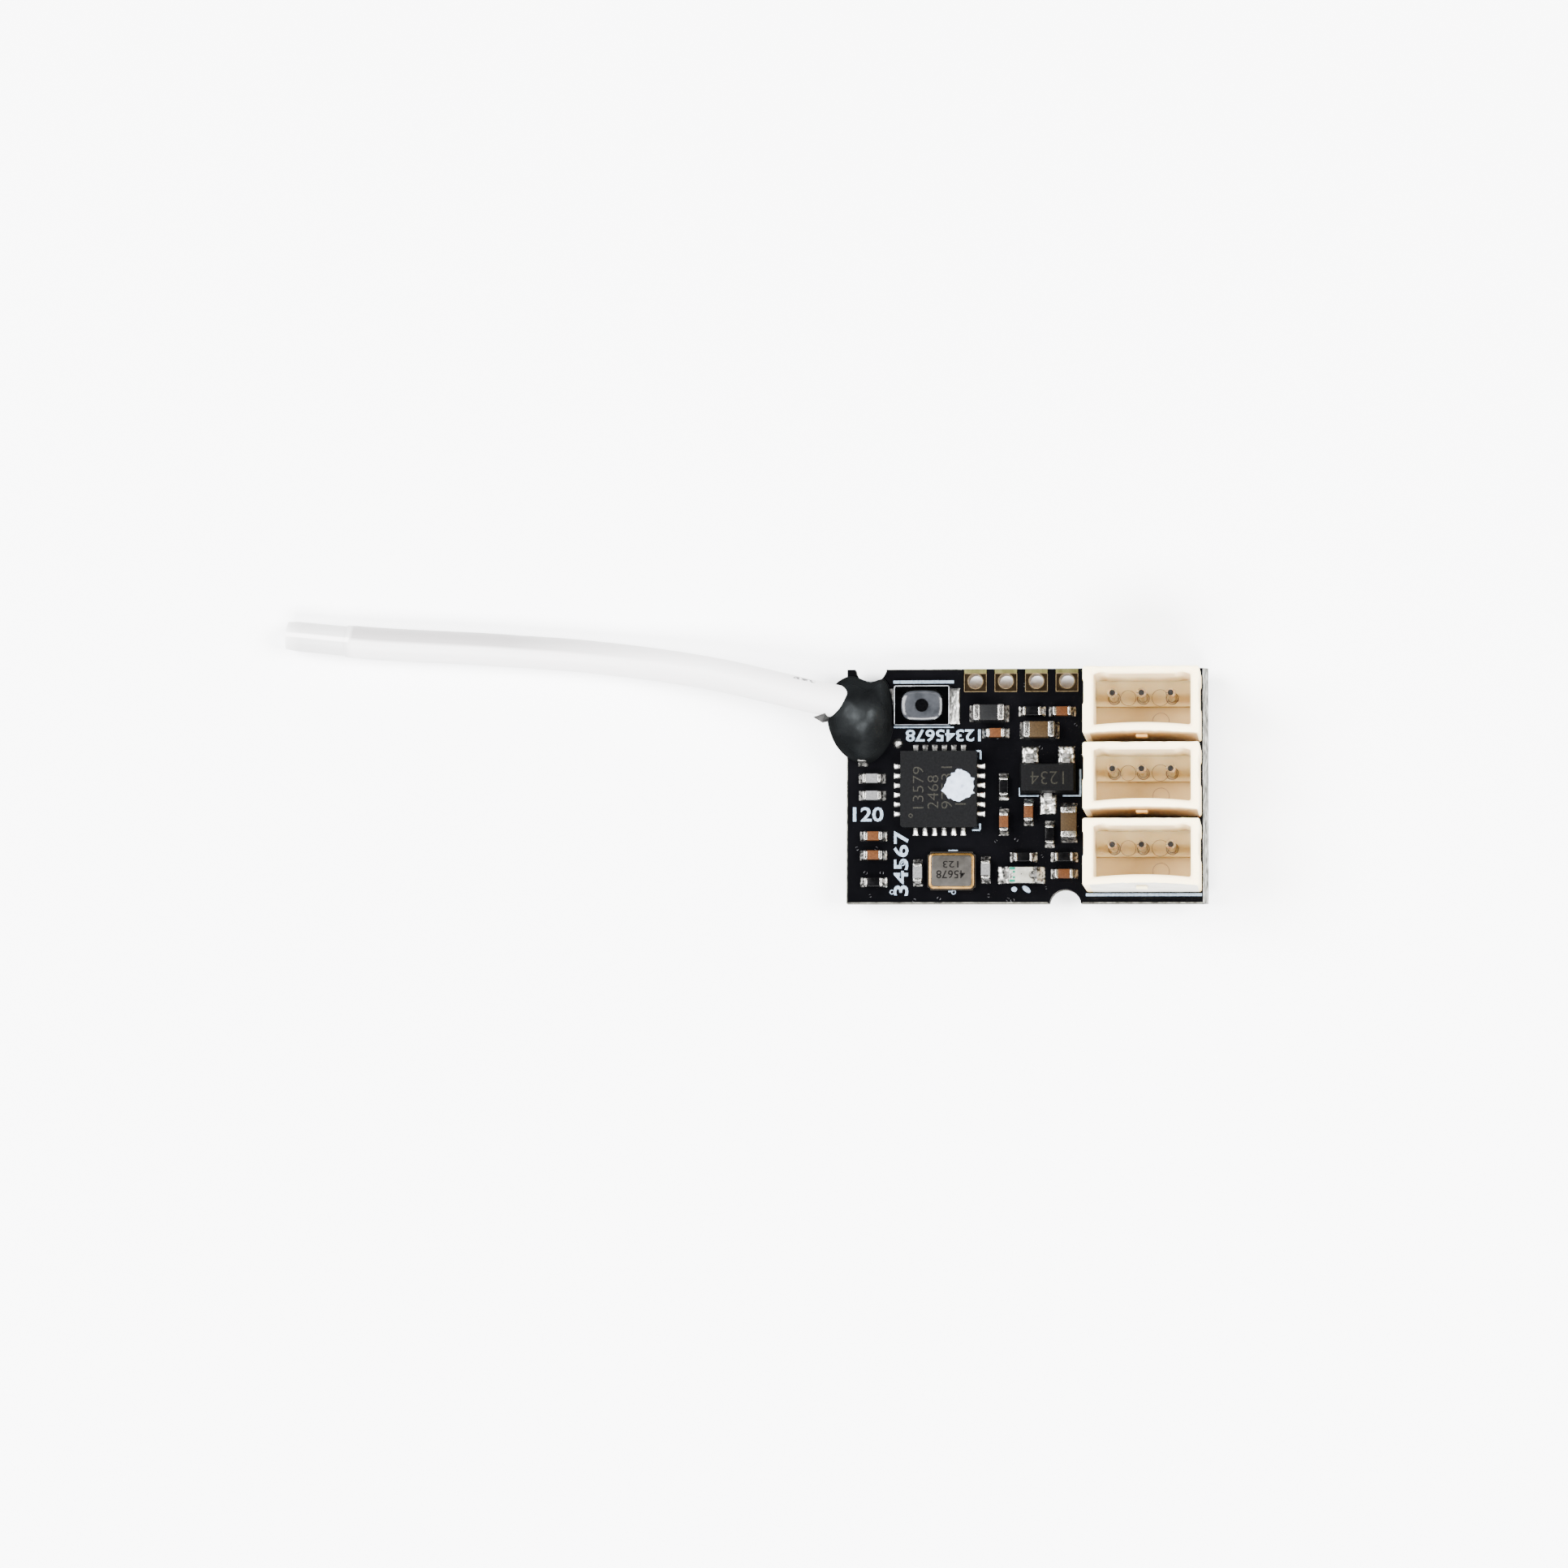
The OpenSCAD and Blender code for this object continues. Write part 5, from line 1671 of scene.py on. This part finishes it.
light.loft([bitten(z, 0.99, 0.99) for z in (0.01, LEDGE)], dull_solder, place)
light.loft(
    [bitten(z, wide, deep) for z, wide, deep in (
        (LEDGE, 0.79, 0.97), (size.z - 0.05, 0.76, 0.95), (size.z, 0.72, 0.88),
    )],
    milky,
    place,
)
for s in (-1, 1):
    light.block((0.3, size.y, 0.1), (s * (size.x / 2 - 0.15), 0, 0.05), joint_bright, 0.03, place)
for x, y, wide, tall in (
    (-0.45, 0.32, 0.3, 0.13), (-0.36, 0.15, 0.12, 0.12),
    (-0.36, -0.15, 0.12, 0.12), (-0.45, -0.32, 0.3, 0.13),
):
    light.block((wide, tall, 0.02), (x, y, size.z - 0.004), teal_ink, 0.008, place)
light.block((0.06, 0.05, 0.012), (0.02, 0.03, size.z - 0.002), stem_black, 0.004, place)
light.make("light_body", replaces=["status_led"])
led_solder = Shape()
for turn in (0, 180):
    spot = at(centre.x, centre.y, TOP, turn) @ Matrix.Translation((size.x / 2, 0, 0))
    led_solder.mound(10, 8, fillet(0.42, size.y + 0.02, 0.24), dull_solder, spot)
led_solder.make("light_solder", smooth=60)
print("status light", round(size.x, 2), "mm long")

# %% [markdown]
# ## Paint dab
# A drop of white paint, pressed flat, marks the radio chip as tested. It could be sculpted,
# but a smooth curve through listed points can be corrected one point at a time. Noise makes
# the skin uneven, as on paint that dried with a wrinkled surface.

# %% Paint dab
white_paint = Paint("white_paint", Roughness=0.6)
white_paint.colours(
    white_paint.noise(0.35, detail=5),
    (0.3, (0.12, 0.15, 0.2)),
    (0.42, (0.21, 0.25, 0.32)),
    (0.7, (0.27, 0.32, 0.4)),
)
white_paint.relief(0.3, 0.03, detail=5)
dab_low, dab_high = box("paint_dab")
dab = Shape()
rim = [
    (0.01, 0.85), (0.30, 0.76), (0.55, 0.60), (0.65, 0.42), (0.84, 0.37), (0.77, 0.16),
    (0.80, -0.09), (0.75, -0.27), (0.84, -0.41), (0.66, -0.47), (0.58, -0.62), (0.37, -0.66),
    (0.23, -0.77), (0.01, -0.85), (-0.20, -0.79), (-0.41, -0.70), (-0.56, -0.67), (-0.61, -0.52),
    (-0.73, -0.41), (-0.87, -0.28), (-0.79, -0.13), (-0.71, 0.05), (-0.62, 0.23), (-0.57, 0.40),
    (-0.41, 0.47), (-0.38, 0.65), (-0.20, 0.67), (-0.13, 0.80),
]
edge = smooth_loop([(x, y, 0) for x, y in rim], 4)
WRINKLE, RAGGED = 0.012, 0.05


def dab_ring(share, z):
    """The rim scaled about its middle, ragged at its edge and wrinkled inside."""
    found = []
    for p in edge:
        x = p.x * share * (1 + RAGGED * noise.noise(p * 11))
        y = p.y * share * (1 + RAGGED * noise.noise(p * 11 + Vector((9, 0, 0))))
        lift = WRINKLE * noise.noise(p * 5 * share) if share < 1 else 0
        found.append((x, y, z + lift))
    return found


dab.loft(
    [dab_ring(share, z) for share, z in (
        (0.99, 0.0), (1.0, 0.012), (0.97, 0.026), (0.85, 0.034), (0.6, 0.03), (0.3, 0.026),
        (0.03, 0.026),
    )],
    white_paint,
    at((dab_low.x + dab_high.x) / 2, (dab_low.y + dab_high.y) / 2, dab_low.z),
)
dab.make("paint_blob", replaces=["paint_dab"], smooth=50)
print("paint dab on the radio chip")
